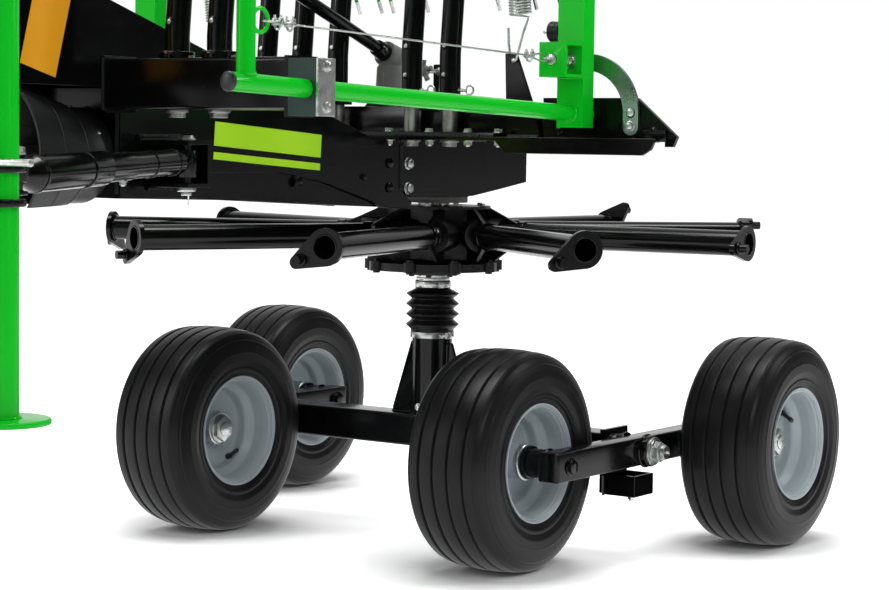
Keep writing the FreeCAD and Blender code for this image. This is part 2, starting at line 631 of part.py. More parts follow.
def peg_tail(name, x, y, seat):
    """End of a peg and its ring, under the bar that it is let through."""
    end = cylinder(name + "_end", "peg_radius", "peg_tail", x, y, f"{seat} - peg_tail")
    return fuse([end, cylinder(name + "_ring", "peg_radius + 4.5", 5, x, y, f"{seat} - 5")], name)


def arm_pegs():
    """Steel pegs of the stored arms: bare above the rear bar, and their ends below both bars."""
    holder = "flange_top + 2 * plate"
    pegs = []
    for stem, places in tine_places().items():
        for k, (x, y, _) in enumerate(places):
            if stem != "rear":
                pegs.append(peg_tail(f"peg_tail_{stem}_{k}", x, y, "front_bar_low"))
                continue
            pegs.append(cylinder(f"peg_{k}", "peg_radius", f"peg_top - ({holder})", x, y, holder))
            if k != BEAM_PEG:
                pegs.append(peg_tail(f"peg_tail_{k}", x, y, "flange_top"))
    group(pegs, "arm_pegs")


def tine_arm(name, x, y, seat):
    """Bent tube with the collar that it stands on."""
    body = new_body(name, x=x, y=y, z=seat)
    profile = circle(new_sketch(body, "XY", name + "_section"), 0, 0, "tine_radius")
    path = new_sketch(body, "XZ", name + "_path")
    for k in range(2):
        path.addGeometry(Part.LineSegment(Vector(-k, 50 * k, 0), Vector(-k - 1, 50 * k + 50, 0)), False)
    path.addConstraint(Sketcher.Constraint("Coincident", 0, 2, 1, 1))
    bend, end = f"(tine_bend_z - ({seat}))", f"(tine_top - ({seat}))"
    corners = ((0, 1, 0, 0), (1, 1, 0, bend), (1, 2, f"({bend} - {end}) * tan(tine_bend)", end))
    for line, point, across, up in corners:
        pin(path, "DistanceX", -1, 1, line, point, 1, text=across)
        pin(path, "DistanceY", -1, 1, line, point, 1, text=up)
    tube = body.newObject("PartDesign::AdditivePipe", name + "_tube")
    tube.Profile = profile
    tube.Spine = path
    tube.Transition = "Right corner"
    pad(circle(new_sketch(body, "XY", name + "_collar"), 0, 0, "tine_radius + 9"), 12)
    return body


def tine_arms():
    for stem, places in tine_places().items():
        arms = [tine_arm(f"tine_arm_{stem}_{k}", x, y, seat) for k, (x, y, seat) in enumerate(places)]
        group(arms, "tine_arms_" + stem)


def tine_pair(name, x, y, rise):
    """Two bent spring wires on their coil, behind a stored arm."""
    lean = "tine_bend"
    body = new_body(name, x=f"{x} - {rise} * sin({lean})", y=y, z=f"tine_bend_z + {rise} * cos({lean})",
                    turn=Rotation(Vector(0, 1, 0), -SIZES["tine_bend"]))
    seat = "(-tine_radius - tine_coil - seat_gap)"
    pad(circle(new_sketch(body, "XZ", name + "_coil"), seat, 0, "tine_coil"), "2 * tine_apart + tine_wire",
        middle=True)
    for side in ("", "-"):
        wire = new_sketch(body, "XZ", f"{name}_wire{side.replace('-', '_right')}", f"{side}tine_apart")
        pad(outline(wire, [
            (seat, "-tine_coil"), (f"{seat} - tine_reach", "tine_lift"),
            (f"{seat} - tine_reach - tine_hook", "tine_lift - tine_drop"),
            (f"{seat} - tine_reach - tine_hook + tine_wire", "tine_lift - tine_drop"),
            (f"{seat} - tine_reach + tine_wire / 2", "tine_lift - tine_wire"),
            (seat, "-tine_coil + tine_wire")]), "tine_wire", middle=True)
    return body


def tines():
    """Double spring tines of the stored arms."""
    pairs = []
    for stem, places in tine_places().items():
        for k, (x, y, seat) in enumerate(places):
            for row in range(PAIRS):
                pairs.append(tine_pair(f"tine_{stem}_{k}_{row}", x, y, f"(tine_first + {row} * tine_step)"))
    group(pairs, "tines")


# ---- guards ----

def hinge_line(x):
    """Height of a guard's hinge axis over a place x."""
    return f"(hinge_rear_z + (hinge_front_z - hinge_rear_z) * ({x} - post_x) / (hinge_front_x - post_x))"


def rail_tilt():
    """Degrees by which a guard's hinge axis rises towards the front."""
    return math.degrees(math.atan2(SIZES["hinge_front_z"] - SIZES["hinge_rear_z"],
                                   SIZES["hinge_front_x"] - SIZES["post_x"]))


def rail_turn():
    return Rotation(Vector(0, 1, 0), 90 - rail_tilt())


def hinge_plates():
    """Upright plates on the rear bar: the guards' rear pivots and the springs' brackets."""
    body = new_body("hinge_plate", x="hinge_plate_x")
    seat = "flange_top + plate"
    face = outline(new_sketch(body, "YZ", "hinge_face"), [
        ("guard_y - 105", seat), ("guard_y + 178", seat), ("guard_y + 178", "flange_top - 8"),
        ("guard_y + 196", "flange_top - 8"), ("guard_y + 205", f"{seat} + 4"),
        ("guard_y + 114", f"{seat} + 80"), ("guard_y - 105", f"{seat} + 80")])
    pad(face, "plate + 2")
    bore = cylinder("hinge_bore", "peg_radius + running_fit", 60, "hinge_plate_x - 20", "guard_y",
                    hinge_line("(hinge_plate_x - 20)"), rail_turn())
    spring = new_body("spring_bracket", x="hinge_plate_x + 10")
    plate = outline(new_sketch(spring, "YZ", "spring_face"), [
        ("bracket_y - 12", seat), ("guard_y - 106", seat), ("bracket_y + 46", f"{seat} + 75"),
        ("bracket_y + 8", "bracket_top"), ("bracket_y - 18", "bracket_top")])
    circle(plate, "bracket_y", "bracket_top - 15", 6)
    pad(plate, "plate")
    both_sides(cut(fuse([body, spring], "hinge_and_spring"), bore, "hinge_bored"), "hinge_plates")


def sector_plates():
    """Quarter rings that the guards' latches drop into."""
    body = new_body("sector", x="hinge_plate_x + 10", y="guard_y", z="hinge_rear_z")
    inner, outer = "(sector_radius - sector_width / 2)", "(sector_radius + sector_width / 2)"
    ring = new_sketch(body, "YZ", "sector_ring")
    circle(ring, 0, 0, outer)
    circle(ring, 0, 0, inner)
    pad(ring, "plate")
    trim = new_sketch(body, "YZ", "sector_trim")
    outline(trim, [(-200, -200), (200, -200), (200, 0), (10, 0), (-18, 10), (-18, 200), (-200, 200)])
    pocket(trim, "plate", back=True)
    tail = new_sketch(body, "YZ", "sector_tail")
    rectangle(tail, inner, -24, outer, 4)
    pad(tail, "plate")
    pad(circle(new_sketch(body, "YZ", "sector_end"), "sector_radius", -24, "sector_width / 2"), "plate")
    holes = new_sketch(body, "YZ", "sector_holes")
    circle(holes, "sector_radius", 3, 10)
    circle(holes, 0, "sector_radius", 10.5)
    pocket(holes, "plate", back=True)
    both_sides(body, "sector_plates")


def clamp_blocks():
    """Plastic bearing blocks for the guards' rails, with their steel cover plates."""
    inner = "front_bar_half + plate"
    solid = block("clamp_block_solid", "block_x", "block_x + block_width", inner,
                  f"{inner} + 2 * block_half", "front_bar_low - 10", "front_bar_top - 3")
    bore = cylinder("clamp_block_bore", "guard_radius + running_fit", 300, "block_x - 100", "guard_y",
                    hinge_line("(block_x - 100)"), rail_turn())
    both_sides(cut(solid, bore, "clamp_block"), "clamp_blocks")
    cover = block("clamp_cover", "block_x", "block_x + block_width", f"{inner} + 2 * block_half",
                  f"{inner} + 2 * block_half + 6", "front_bar_low - 10", "front_bar_top - 3")
    both_sides(cover, "clamp_covers")


def guard_frame():
    """Folding side guard: rail, upright, rungs and the post that its hinge and latch sit on."""
    start = "(post_x + post_depth - 5)"
    rail = cylinder("guard_rail", "guard_radius", f"(rail_end - {start}) / cos({rail_tilt()})", start, "guard_y",
                    hinge_line(start), rail_turn())
    post = block("guard_post", "post_x", "post_x + post_depth", "guard_y - post_width / 2",
                 "guard_y + post_width / 2", "hinge_rear_z - 27", "post_top")
    upright = cylinder("guard_upright", "rung_radius", f"post_top - 2 - {hinge_line('upright_x')}", "upright_x",
                       "guard_y", hinge_line("upright_x"))
    rungs = [cylinder(f"guard_rung_{k}", "guard_radius", f"upright_x - {start}", start, "guard_y",
                      f"post_top - {drop}", ALONG_X) for k, drop in enumerate(("guard_radius - 1", "560"))]
    latch = block("latch_box", "post_x + post_depth", "post_x + post_depth + 66", "guard_y - 31",
                  "guard_y + 30", "latch_z - 34", "latch_z + 34")
    space = block("latch_space", "post_x + post_depth + 6", "post_x + post_depth + 60", "guard_y - 40",
                  "guard_y + 40", "latch_z - 28", "latch_z + 28")
    plunger = cylinder("latch_plunger", 10, "post_depth + 82", "post_x - 10", "guard_y", "latch_z", ALONG_X)
    pivot = cylinder("guard_pin", "peg_radius", 44, "post_x - 40", "guard_y", hinge_line("(post_x - 40)"),
                     rail_turn())
    lug = block("spring_lug", "post_x + 5", "post_x + 13", "spring_y - 12", "guard_y - post_width / 2",
                "spring_top", "spring_top + 40")
    made = fuse([rail, post, upright, *rungs, cut(latch, space, "latch_shell"), plunger, pivot, lug],
                "guard_frame")
    left_and_right(made, "guard_frame")


def guard_spring():
    """Counterbalance spring between its bracket and the guard's lug, with the hook below its coils."""
    foot = "(bracket_top + 3 * seat_gap)"
    reach = math.hypot(SIZES["spring_y"] - SIZES["bracket_y"], SIZES["spring_low"] - SIZES["bracket_top"])
    hook_lean = math.degrees(math.asin((SIZES["spring_y"] - SIZES["bracket_y"]) / reach))
    hook = cylinder("spring_low_hook", 3, reach, "hinge_plate_x + 14", "bracket_y", foot,
                    Rotation(Vector(1, 0, 0), -hook_lean))
    lean = math.degrees(math.atan2(SIZES["post_x"] + 9 - SIZES["hinge_plate_x"] - 14,
                                   SIZES["spring_top"] - SIZES["spring_low"]))
    body = new_body("guard_spring", x="hinge_plate_x + 14", y="spring_y", z="spring_low",
                    turn=Rotation(Vector(0, 1, 0), lean))
    length = f"((spring_top - 2 - spring_low) / cos({lean}))"
    pad(circle(new_sketch(body, "XY", "spring_coil"), 0, 0, "spring_radius"), f"{length} - 30")
    pad(circle(new_sketch(body, "XY", "spring_top_hook"), 0, 0, 3), length)
    left_and_right(fuse([hook, body], "guard_spring_solid"), "guard_spring")


# ---- front end ----

def pto_cone():
    """Bell guard over the input shaft, open below."""
    body = new_body("bell_guard", x="front_x", z="pto_z", turn=Rotation(Vector(0, 0, 1), -90))
    start = "(cone_x - front_x)"
    end = "(cone_x - front_x + cone_length)"
    revolve(outline(new_sketch(body, "YZ", "cone_half"), [
        (0, "cone_small"), (start, "cone_small"), (end, "cone_large"), (end, "cone_large - 4"),
        (start, "cone_small - 4"), (0, "cone_small - 4")]), "H")
    below = block("cone_cut", "front_x + 1", "cone_x + cone_length + 1", "-cone_large - 1", "cone_large + 1",
                  "pto_z - cone_large - 1", "cone_low")
    keep(cut(body, below, "pto_cone"), "pto_cone")


def pto_input_shaft():
    body = cylinder("pto_input_shaft", "pto_shaft", "cone_x + cone_length - 20 - front_x - 0.5",
                    "front_x + 0.5", 0, "pto_z", ALONG_X)
    keep(body, "pto_input_shaft")


def neck_head():
    """Upright tube at the front of the neck that the headstock turns on, and its pin."""
    low, top = "(neck_low + 10)", "(neck_low + 230)"
    face = block("neck_plate", "neck_x", "neck_x + plate", "-side_y", "side_y", "neck_low", top_edge("neck_x"))
    tube = cylinder("neck_tube", 42, f"{top} - {low}", "yaw_x", 0, low)
    web = block("neck_web", "neck_x + plate", "yaw_x", -25, 25, low, top)
    keep(fuse([face, web, tube], "neck_head"), "neck_head")
    pin_low = f"{low} - ear - 25"
    pin = fuse([cylinder("yaw_pin_low", "yaw_pin", f"ear + 25", "yaw_x", 0, pin_low),
                cylinder("yaw_pin_top", "yaw_pin", f"ear + 25", "yaw_x", 0, top)], "yaw_pins")
    keep(pin, "yaw_pins")


def headstock_frame():
    """Three-point frame: cross tube, mast, ears for the yaw pin and rings for the stands."""
    low, top = "(neck_low + 10)", "(neck_low + 230)"
    half = "cross_tube / 2"
    tube = block("cross_tube_run", "mast_x - 65", "mast_x - 5", "-leg_y + 39", "leg_y - 39",
                 f"cross_z - {half}", f"cross_z + {half}")
    pieces = [tube]
    for side, y in (("left", 70), ("right", -70)):
        pieces.append(plate_of(f"mast_{side}", "XZ", [
            ("mast_x - 65", f"cross_z + {half} - 1"), ("mast_x - 65", f"{top} + ear + 12"),
            ("mast_x - 20", "top_link_z + 30"), ("mast_x + 40", "top_link_z + 30"),
            ("mast_x + 40", "top_link_z - 30"), ("mast_x - 5", f"{top} - 60"),
            ("mast_x - 5", f"cross_z + {half} - 1")], 12, y=y,
            hole=("mast_x + 10", "top_link_z", "top_pin + running_fit")))
    for k, z0 in enumerate((f"{low} - seat_gap - ear", f"{top} + seat_gap")):
        shape = plate_of(f"ear_{k}", "XY", [
            ("yaw_x", "-ear_round"), ("yaw_x + 44", "-ear_round"), ("yaw_x + 52", -76), ("mast_x - 20", -76),
            ("mast_x - 20", 76), ("yaw_x + 52", 76), ("yaw_x + 44", "ear_round"), ("yaw_x", "ear_round")],
            "ear", z=f"{z0} + ear / 2")
        nose = cylinder(f"ear_nose_{k}", "ear_round", "ear", "yaw_x", 0, z0)
        hole = cylinder(f"ear_hole_{k}", "yaw_pin + running_fit", "3 * ear", "yaw_x", 0, f"{z0} - ear")
        pieces.append(cut(fuse([shape, nose], f"rounded_ear_{k}"), hole, f"bored_ear_{k}"))
    for side in ("left", "right"):
        sign = "" if side == "left" else "-"
        centre = f"{sign}leg_y"
        for k, z in enumerate(("ring_z - ring_height / 2", "ring_z + ring_height / 2 - 12")):
            ring = cylinder(f"leg_ring_{side}_{k}", "leg_radius + 16", 12, "mast_x", centre, z)
            bridge = block(f"leg_bridge_{side}_{k}", "mast_x - 65", "mast_x", f"{centre} - 40",
                           f"{centre} + 40", z, f"{z} + 12")
            hole = cylinder(f"leg_hole_{side}_{k}", "leg_radius + 0.3", 40, "mast_x", centre, f"{z} - 10")
            pieces.append(cut(fuse([ring, bridge], f"leg_lug_{side}_{k}"), hole, f"leg_guide_{side}_{k}"))
        pieces.append(block(f"leg_web_{side}", "mast_x - 65", "mast_x - 53", f"{centre} - 40",
                            f"{centre} + 40", "ring_z - ring_height / 2", "ring_z + ring_height / 2"))
    keep(fuse(pieces, "headstock_frame"), "headstock_frame")


def link_pins():
    """Lower link pins, ahead of the cross tube, and the top link pin."""
    pieces = []
    for side, sign in (("left", ""), ("right", "-")):
        ear = plate_of(f"link_ear_{side}", "XZ", [
            ("mast_x - 5", "cross_z - 28"), ("mast_x + 75", "cross_z - 28"), ("mast_x + 95", "cross_z"),
            ("mast_x + 75", "cross_z + 28"), ("mast_x - 5", "cross_z + 28")], 12, y=f"{sign}(link_y - 60)")
        pin = cylinder(f"link_pin_{side}", "link_pin", 90, "mast_x + 60", f"{sign}(link_y - 30) - 45", "cross_z",
                       ALONG_Y)
        pieces.append(fuse([ear, pin], f"link_{side}"))
    top = cylinder("top_link_pin", "top_pin", 180, "mast_x + 10", -90, "top_link_z", ALONG_Y)
    group(pieces, "link_pins")
    keep(top, "top_link_pin")


def stand(side, sign, raise_by):
    """Round leg with its foot plate."""
    leg = cylinder("leg_" + side, "leg_radius", "leg_length", "mast_x", f"{sign}leg_y", raise_by)
    foot = cylinder("foot_" + side, "foot_radius", 10, "mast_x", f"{sign}leg_y", raise_by)
    keep(fuse([leg, foot], "stand_" + side), "stand_" + side)


def struts():
    """Steering dampers between the beam and the headstock, and the brackets of their fixed ends."""
    reach = math.hypot(SIZES["strut_eye_y"] - SIZES["strut_y"], SIZES["strut_eye_x"] - SIZES["strut_x"])
    swing = math.degrees(math.asin((SIZES["strut_eye_y"] - SIZES["strut_y"]) / reach))
    turn = Rotation(Vector(0, 0, 1), swing).multiply(ALONG_X)
    bracket = new_body("strut_bracket")
    ears = new_sketch(bracket, "XZ", "strut_ears", "-side_y")
    for z in ("strut_z - strut_ear - 8", "strut_z + strut_ear"):
        rectangle(ears, "strut_x - 22", z, "strut_x + 24", f"{z} + 8")
    rectangle(ears, "strut_x - 38", "strut_z - strut_ear - 8", "strut_x - 30", "strut_z + strut_ear + 8")
    rectangle(ears, "strut_x - 30", "strut_z - strut_ear - 8", "strut_x - 22", "strut_z - strut_ear")
    rectangle(ears, "strut_x - 30", "strut_z + strut_ear", "strut_x - 22", "strut_z + strut_ear + 8")
    pad(ears, "strut_y + 25 - side_y", back=True)
    pin = cylinder("strut_fixed_pin", "strut_pin", "2 * strut_ear + 28", "strut_x", "strut_y",
                   "strut_z - strut_ear - 16")
    both_sides(fuse([bracket, pin], "strut_bracket_and_pin"), "strut_brackets")
    inner = new_body("strut_inner", x="strut_x", y="strut_y", z="strut_z", turn=turn)
    revolve(outline(new_sketch(inner, "YZ", "strut_inner_half"), [
        (0, 14), (20, 14), ("strut_radius - 1", 42), ("strut_radius", "strut_sleeve - 80"),
        ("strut_radius - 1", "strut_sleeve - 80"), ("strut_radius - 1", "strut_sleeve + 130"),
        (0, "strut_sleeve + 130")]), "V")
    eye = cylinder("strut_eye_ring", "2 * strut_pin", 50, "strut_x", "strut_y", "strut_z - 25")
    eye_hole = cylinder("strut_eye_hole", "strut_pin + running_fit", 60, "strut_x", "strut_y", "strut_z - 30")
    left_and_right(cut(fuse([eye, inner], "strut_outside"), eye_hole, "strut_tube"), "strut_tube")
    outer = new_body("strut_outer", x="strut_x", y="strut_y", z="strut_z", turn=turn)
    bore = "strut_radius - 1 + running_fit"
    last = f"({reach} - 36)"
    revolve(outline(new_sketch(outer, "YZ", "strut_outer_half"), [
        (bore, "strut_sleeve"), ("sleeve_outer", "strut_sleeve"), ("sleeve_outer", f"{last} - 12"),
        ("sleeve_outer - 14", last), (15, last), (15, f"{reach} - 16"), (0, f"{reach} - 16"),
        (0, f"{last} - 15"), (bore, f"{last} - 15")]), "V")
    ring = cylinder("strut_rod_ring", "2 * strut_pin", 40, "strut_eye_x", "strut_eye_y", "strut_z - 20")
    ring_hole = cylinder("strut_rod_hole", "strut_pin + 4.5", 60, "strut_eye_x", "strut_eye_y", "strut_z - 30")
    left_and_right(cut(fuse([outer, ring], "strut_rod_outside"), ring_hole, "strut_rod"), "strut_rod")
    fork = [block(f"fork_{k}", "strut_eye_x - 16", "mast_x - 65", "strut_eye_y - 16", "strut_eye_y + 16", z,
                  f"{z} + 6") for k, z in enumerate(("strut_z - 32", "strut_z + 26"))]
    post = cylinder("fork_pin", "strut_pin", 66, "strut_eye_x", "strut_eye_y", "strut_z - 33")
    back = block("fork_back", "mast_x - 73", "mast_x - 65", "strut_eye_y - 16", "strut_eye_y + 16",
                 "cross_z - cross_tube / 2", "strut_z + 32")
    both_sides(fuse([*fork, post, back], "strut_fork"), "strut_forks")


cross_beam()
column_tube()
bellows()
pivot_shafts()
stop_brackets()
walking_beam()
axles()
wheels()
column_piston()
rotor_hub()
rotor_arms()
beam_side_plates()
beam_box()
rear_housing()
gearbox()
crank_gearbox()
height_crank()
rear_bar()
front_bars()
arm_pegs()
tine_arms()
tines()
hinge_plates()
sector_plates()
clamp_blocks()
guard_frame()
guard_spring()
pto_cone()
pto_input_shaft()
neck_head()
headstock_frame()
link_pins()
stand("left", "", "leg_raise")
stand("right", "-", "0")
struts()
doc.recompute()

wrong = [f"{thing.Label} {thing.State}" for thing in doc.Objects
         if "Invalid" in thing.State or "Error" in thing.State]
wrong += [f"{node.Label} has no valid shape" for node in NODES if node.Shape.isNull() or not node.Shape.isValid()]
if wrong:
    raise RuntimeError("\n".join(wrong))
os.makedirs("parts", exist_ok=True)
for node in NODES:
    node.Shape.exportStep(f"parts/{node.Label}.step")
print(len(NODES), "nodes")
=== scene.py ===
import json
import math

import bmesh
import bpy
from bpy.props import FloatProperty, FloatVectorProperty, PointerProperty
from mathutils import Matrix, Vector

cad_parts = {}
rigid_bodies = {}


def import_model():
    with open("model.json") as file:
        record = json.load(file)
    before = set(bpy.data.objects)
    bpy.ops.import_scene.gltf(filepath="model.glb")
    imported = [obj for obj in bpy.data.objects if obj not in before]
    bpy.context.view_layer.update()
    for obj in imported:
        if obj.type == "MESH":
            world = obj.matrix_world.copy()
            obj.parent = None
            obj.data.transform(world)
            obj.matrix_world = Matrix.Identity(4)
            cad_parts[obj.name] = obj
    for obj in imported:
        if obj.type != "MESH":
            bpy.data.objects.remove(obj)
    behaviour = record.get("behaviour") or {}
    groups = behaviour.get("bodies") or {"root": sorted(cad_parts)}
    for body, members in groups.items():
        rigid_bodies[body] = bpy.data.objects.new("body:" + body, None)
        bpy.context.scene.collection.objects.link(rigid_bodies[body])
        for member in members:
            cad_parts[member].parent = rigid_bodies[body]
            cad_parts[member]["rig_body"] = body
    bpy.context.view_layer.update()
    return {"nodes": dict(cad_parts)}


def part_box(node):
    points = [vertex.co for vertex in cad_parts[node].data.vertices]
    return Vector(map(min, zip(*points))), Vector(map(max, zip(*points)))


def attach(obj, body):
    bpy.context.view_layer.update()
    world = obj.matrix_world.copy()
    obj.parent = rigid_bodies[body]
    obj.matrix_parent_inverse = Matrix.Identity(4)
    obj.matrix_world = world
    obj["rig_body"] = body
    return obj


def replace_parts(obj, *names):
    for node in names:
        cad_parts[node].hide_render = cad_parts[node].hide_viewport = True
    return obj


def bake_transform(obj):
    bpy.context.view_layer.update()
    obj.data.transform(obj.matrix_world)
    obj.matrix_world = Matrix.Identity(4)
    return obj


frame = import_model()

bl_info = {
    "name": "Single Rotor Hay Rake",
    "version": (1, 0, 0),
    "blender": (4, 5, 0),
    "location": "3D View > Sidebar > Hay Rake",
    "description": "Finishes a hay rake around its construction model",
    "category": "Add Mesh",
}

X, Y, Z = Vector((1, 0, 0)), Vector((0, 1, 0)), Vector((0, 0, 1))
SIDES = {"left": 1, "right": -1}
FINISHES = {}


# ---------------------------------------------------------------- sizes and colours

class RakeFinish(bpy.types.PropertyGroup):
    """Colours of the paints, films and rubber."""
    black: FloatVectorProperty(
        name="Black paint", description="Base colour of the frame's paint", subtype="COLOR",
        default=(0.0020, 0.0021, 0.0022), min=0, max=1)
    green: FloatVectorProperty(
        name="Green paint", description="Base colour of guards, stands and tines", subtype="COLOR",
        default=(0.002, 0.47, 0.014), min=0, max=1)
    rim: FloatVectorProperty(
        name="Rim paint", description="Base colour of the wheel rims", subtype="COLOR",
        default=(0.36, 0.41, 0.435), min=0, max=1)
    rubber: FloatVectorProperty(
        name="Rubber", description="Base colour of the tyres and bellows", subtype="COLOR",
        default=(0.0048, 0.0049, 0.0050), min=0, max=1)
    lime: FloatVectorProperty(
        name="Stripe", description="Colour of the stripes on the beam", subtype="COLOR",
        default=(0.33, 0.62, 0.01), min=0, max=1)
    orange: FloatVectorProperty(
        name="Sign", description="Colour of the blank sign", subtype="COLOR",
        default=(0.78, 0.33, 0.01), min=0, max=1)


class RakeTyre(bpy.types.PropertyGroup):
    """Sizes of the tyres' tread."""
    groove: FloatProperty(
        name="Groove depth", description="Depth of the tread's grooves", default=0.0055, min=0,
        subtype="DISTANCE", unit="LENGTH")
    groove_width: FloatProperty(
        name="Groove width", description="Width of a groove at its mouth", default=0.006, min=0.001,
        subtype="DISTANCE", unit="LENGTH")
    rib: FloatProperty(
        name="Rib spacing", description="Distance from one groove to the next", default=0.035,
        min=0.01, max=0.045, subtype="DISTANCE", unit="LENGTH")


class RakeTine(bpy.types.PropertyGroup):
    """Sizes of a double tine."""
    wire: FloatProperty(
        name="Wire", description="Diameter of a tine's wire", default=0.009, min=0.003, subtype="DISTANCE",
        unit="LENGTH")
    reach: FloatProperty(
        name="Reach", description="Length of a tine from its coil to its hook", default=0.290, min=0.05,
        subtype="DISTANCE", unit="LENGTH")
    apart: FloatProperty(
        name="Half spacing", description="Distance of each wire from the middle of its pair", default=0.032,
        min=0.015, subtype="DISTANCE", unit="LENGTH")


class RakeSpring(bpy.types.PropertyGroup):
    """Sizes of the guards' counterbalance springs."""
    wire: FloatProperty(
        name="Wire", description="Diameter of the spring's wire", default=0.005, min=0.002,
        subtype="DISTANCE", unit="LENGTH")
    across: FloatProperty(
        name="Outer diameter", description="Diameter over the spring's coils", default=0.048, min=0.02,
        subtype="DISTANCE", unit="LENGTH")


# ---------------------------------------------------------------- materials

class Value:
    """A node socket that takes Python's arithmetic."""

    def __init__(self, shade, socket):
        self.shade = shade
        self.socket = socket

    def _math(self, operation, first, second):
        return self.shade.add("ShaderNodeMath", {"operation": operation}, {0: first, 1: second})

    def __add__(self, other):
        return self._math("ADD", self, other)

    def __sub__(self, other):
        return self._math("SUBTRACT", self, other)

    def __rsub__(self, other):
        return self._math("SUBTRACT", other, self)

    def __mul__(self, other):
        return self._math("MULTIPLY", self, other)

    def __gt__(self, other):
        return self._math("GREATER_THAN", self, other)

    __radd__ = __add__
    __rmul__ = __mul__


class Shade:
    """The nodes of a material or a world while they are being written."""

    def __init__(self, owner):
        self.owner = owner
        owner.use_nodes = True
        self.tree = owner.node_tree

    def add(self, kind, settings=None, inputs=None, output=0):
        """A node of a kind, with its settings and the values or links of its sockets."""
        node = self.tree.nodes.new(kind)
        for key, setting in (settings or {}).items():
            setattr(node, key, setting)
        for key, given in (inputs or {}).items():
            self.link(given, node.inputs[key])
        return Value(self, node.outputs[output])

    def link(self, given, socket):
        if isinstance(given, Value):
            self.tree.links.new(given.socket, socket)
        else:
            socket.default_value = given

    def where(self):
        return self.add("ShaderNodeTexCoord", output="Object")

    def noise(self, scale, detail=3.0, rough=0.55):
        return self.add("ShaderNodeTexNoise", None, {
            "Vector": self.where(), "Scale": scale, "Detail": detail, "Roughness": rough})

    def distance(self, point):
        return self.add("ShaderNodeVectorMath", {"operation": "DISTANCE"}, {0: self.where(), 1: point},
                        "Value")

    def dot(self, first, second):
        return self.add("ShaderNodeVectorMath", {"operation": "DOT_PRODUCT"}, {0: first, 1: second}, "Value")

    def ramp(self, value, low, high, to_low=0.0, to_high=1.0):
        return self.add("ShaderNodeMapRange", {"clamp": True}, {
            0: value, 1: low, 2: high, 3: to_low, 4: to_high})

    def mix(self, factor, first, second):
        return self.add("ShaderNodeMix", {"data_type": "RGBA"}, {
            0: factor, 6: first, 7: second}, output=2)

    def bump(self, height, strength, distance):
        return self.add("ShaderNodeBump", None, {
            "Height": height, "Strength": strength, "Distance": distance})

    def set(self, **inputs):
        """Sets or links the surface's sockets, named with underscores for spaces."""
        surface = self.tree.nodes["Principled BSDF"]
        for key, given in inputs.items():
            self.link(given, surface.inputs[key.replace("_", " ")])
        return self.owner


def new_finish(name):
    return Shade(bpy.data.materials.new(name))


def rgba(colour, gain=1.0):
    return (*[min(1.0, c * gain) for c in colour], 1.0)


def paint(name, colour, rough=0.14, shine=0.26, dust=0.25, grain=0.05):
    """Gloss paint: fine orange peel, soft patches in its gloss and a film of dust."""
    shade = new_finish(name)
    patches = shade.ramp(shade.noise(5.0, 4.0), 0.35, 0.75)
    film = shade.ramp(shade.noise(38.0, 6.0, 0.7), 0.52, 0.8) * dust
    peel = shade.noise(650.0, 1.0) + shade.noise(170.0, 1.0) * 1.6
    dusty = tuple(c * 0.85 + 0.02 for c in colour)
    return shade.set(
        Base_Color=shade.mix(film * 0.35, rgba(colour), rgba(dusty)),
        Roughness=patches * 0.06 + film * 0.25 + rough,
        Normal=shade.bump(peel, grain, 0.0006), Specular_IOR_Level=shine)


def steel(name, colour, rough=0.3, spangle=90.0):
    """Zinc-plated or bare steel with cloudy crystals and a little tarnish."""
    shade = new_finish(name)
    crystals = shade.add("ShaderNodeTexVoronoi", None, {
        "Vector": shade.where(), "Scale": spangle}, output="Color")
    tone = shade.add("ShaderNodeSeparateColor", None, {0: crystals})
    cloud = shade.noise(24.0, 5.0, 0.65)
    dull = tuple(c * 0.62 for c in colour)
    return shade.set(
        Base_Color=shade.mix(shade.ramp(cloud + tone * 0.25, 0.45, 0.85), rgba(colour), rgba(dull)),
        Metallic=1.0, Roughness=shade.ramp(cloud, 0.3, 0.7, rough - 0.08, rough + 0.14),
        Normal=shade.bump(shade.noise(420.0, 2.0), 0.08, 0.0004))


def casting(name, colour, rough=0.55):
    """Sand-cast iron under a thin grey primer."""
    shade = new_finish(name)
    grain = shade.noise(300.0, 4.0, 0.7)
    cloud = shade.noise(14.0, 4.0)
    return shade.set(
        Base_Color=shade.mix(shade.ramp(cloud, 0.3, 0.7), rgba(colour), rgba(colour, 0.6)),
        Metallic=0.35, Roughness=shade.ramp(grain, 0.2, 0.8, rough - 0.12, rough + 0.15),
        Normal=shade.bump(grain, 0.35, 0.0012))


def rubber(name, colour, rough=0.36, shine=0.2, dust=0.4):
    """Moulded rubber with a dull gloss, a bloom of dust and fine specks."""
    shade = new_finish(name)
    grain = shade.noise(500.0, 3.0)
    bloom = shade.ramp(shade.noise(16.0, 6.0, 0.7), 0.5, 0.85) * dust
    specks = shade.ramp(shade.noise(260.0, 2.0, 0.6), 0.72, 0.79) * dust
    specks = specks + shade.ramp(shade.noise(90.0, 5.0, 0.8), 0.66, 0.80) * dust * 0.6
    return shade.set(
        Base_Color=shade.mix(bloom * 0.12 + specks * 0.5, rgba(colour), (0.10, 0.096, 0.088, 1.0)),
        Roughness=shade.ramp(grain, 0.3, 0.7, rough - 0.05, rough + 0.07) + bloom * 0.2,
        Normal=shade.bump(grain, 0.10, 0.0004), Specular_IOR_Level=shine)


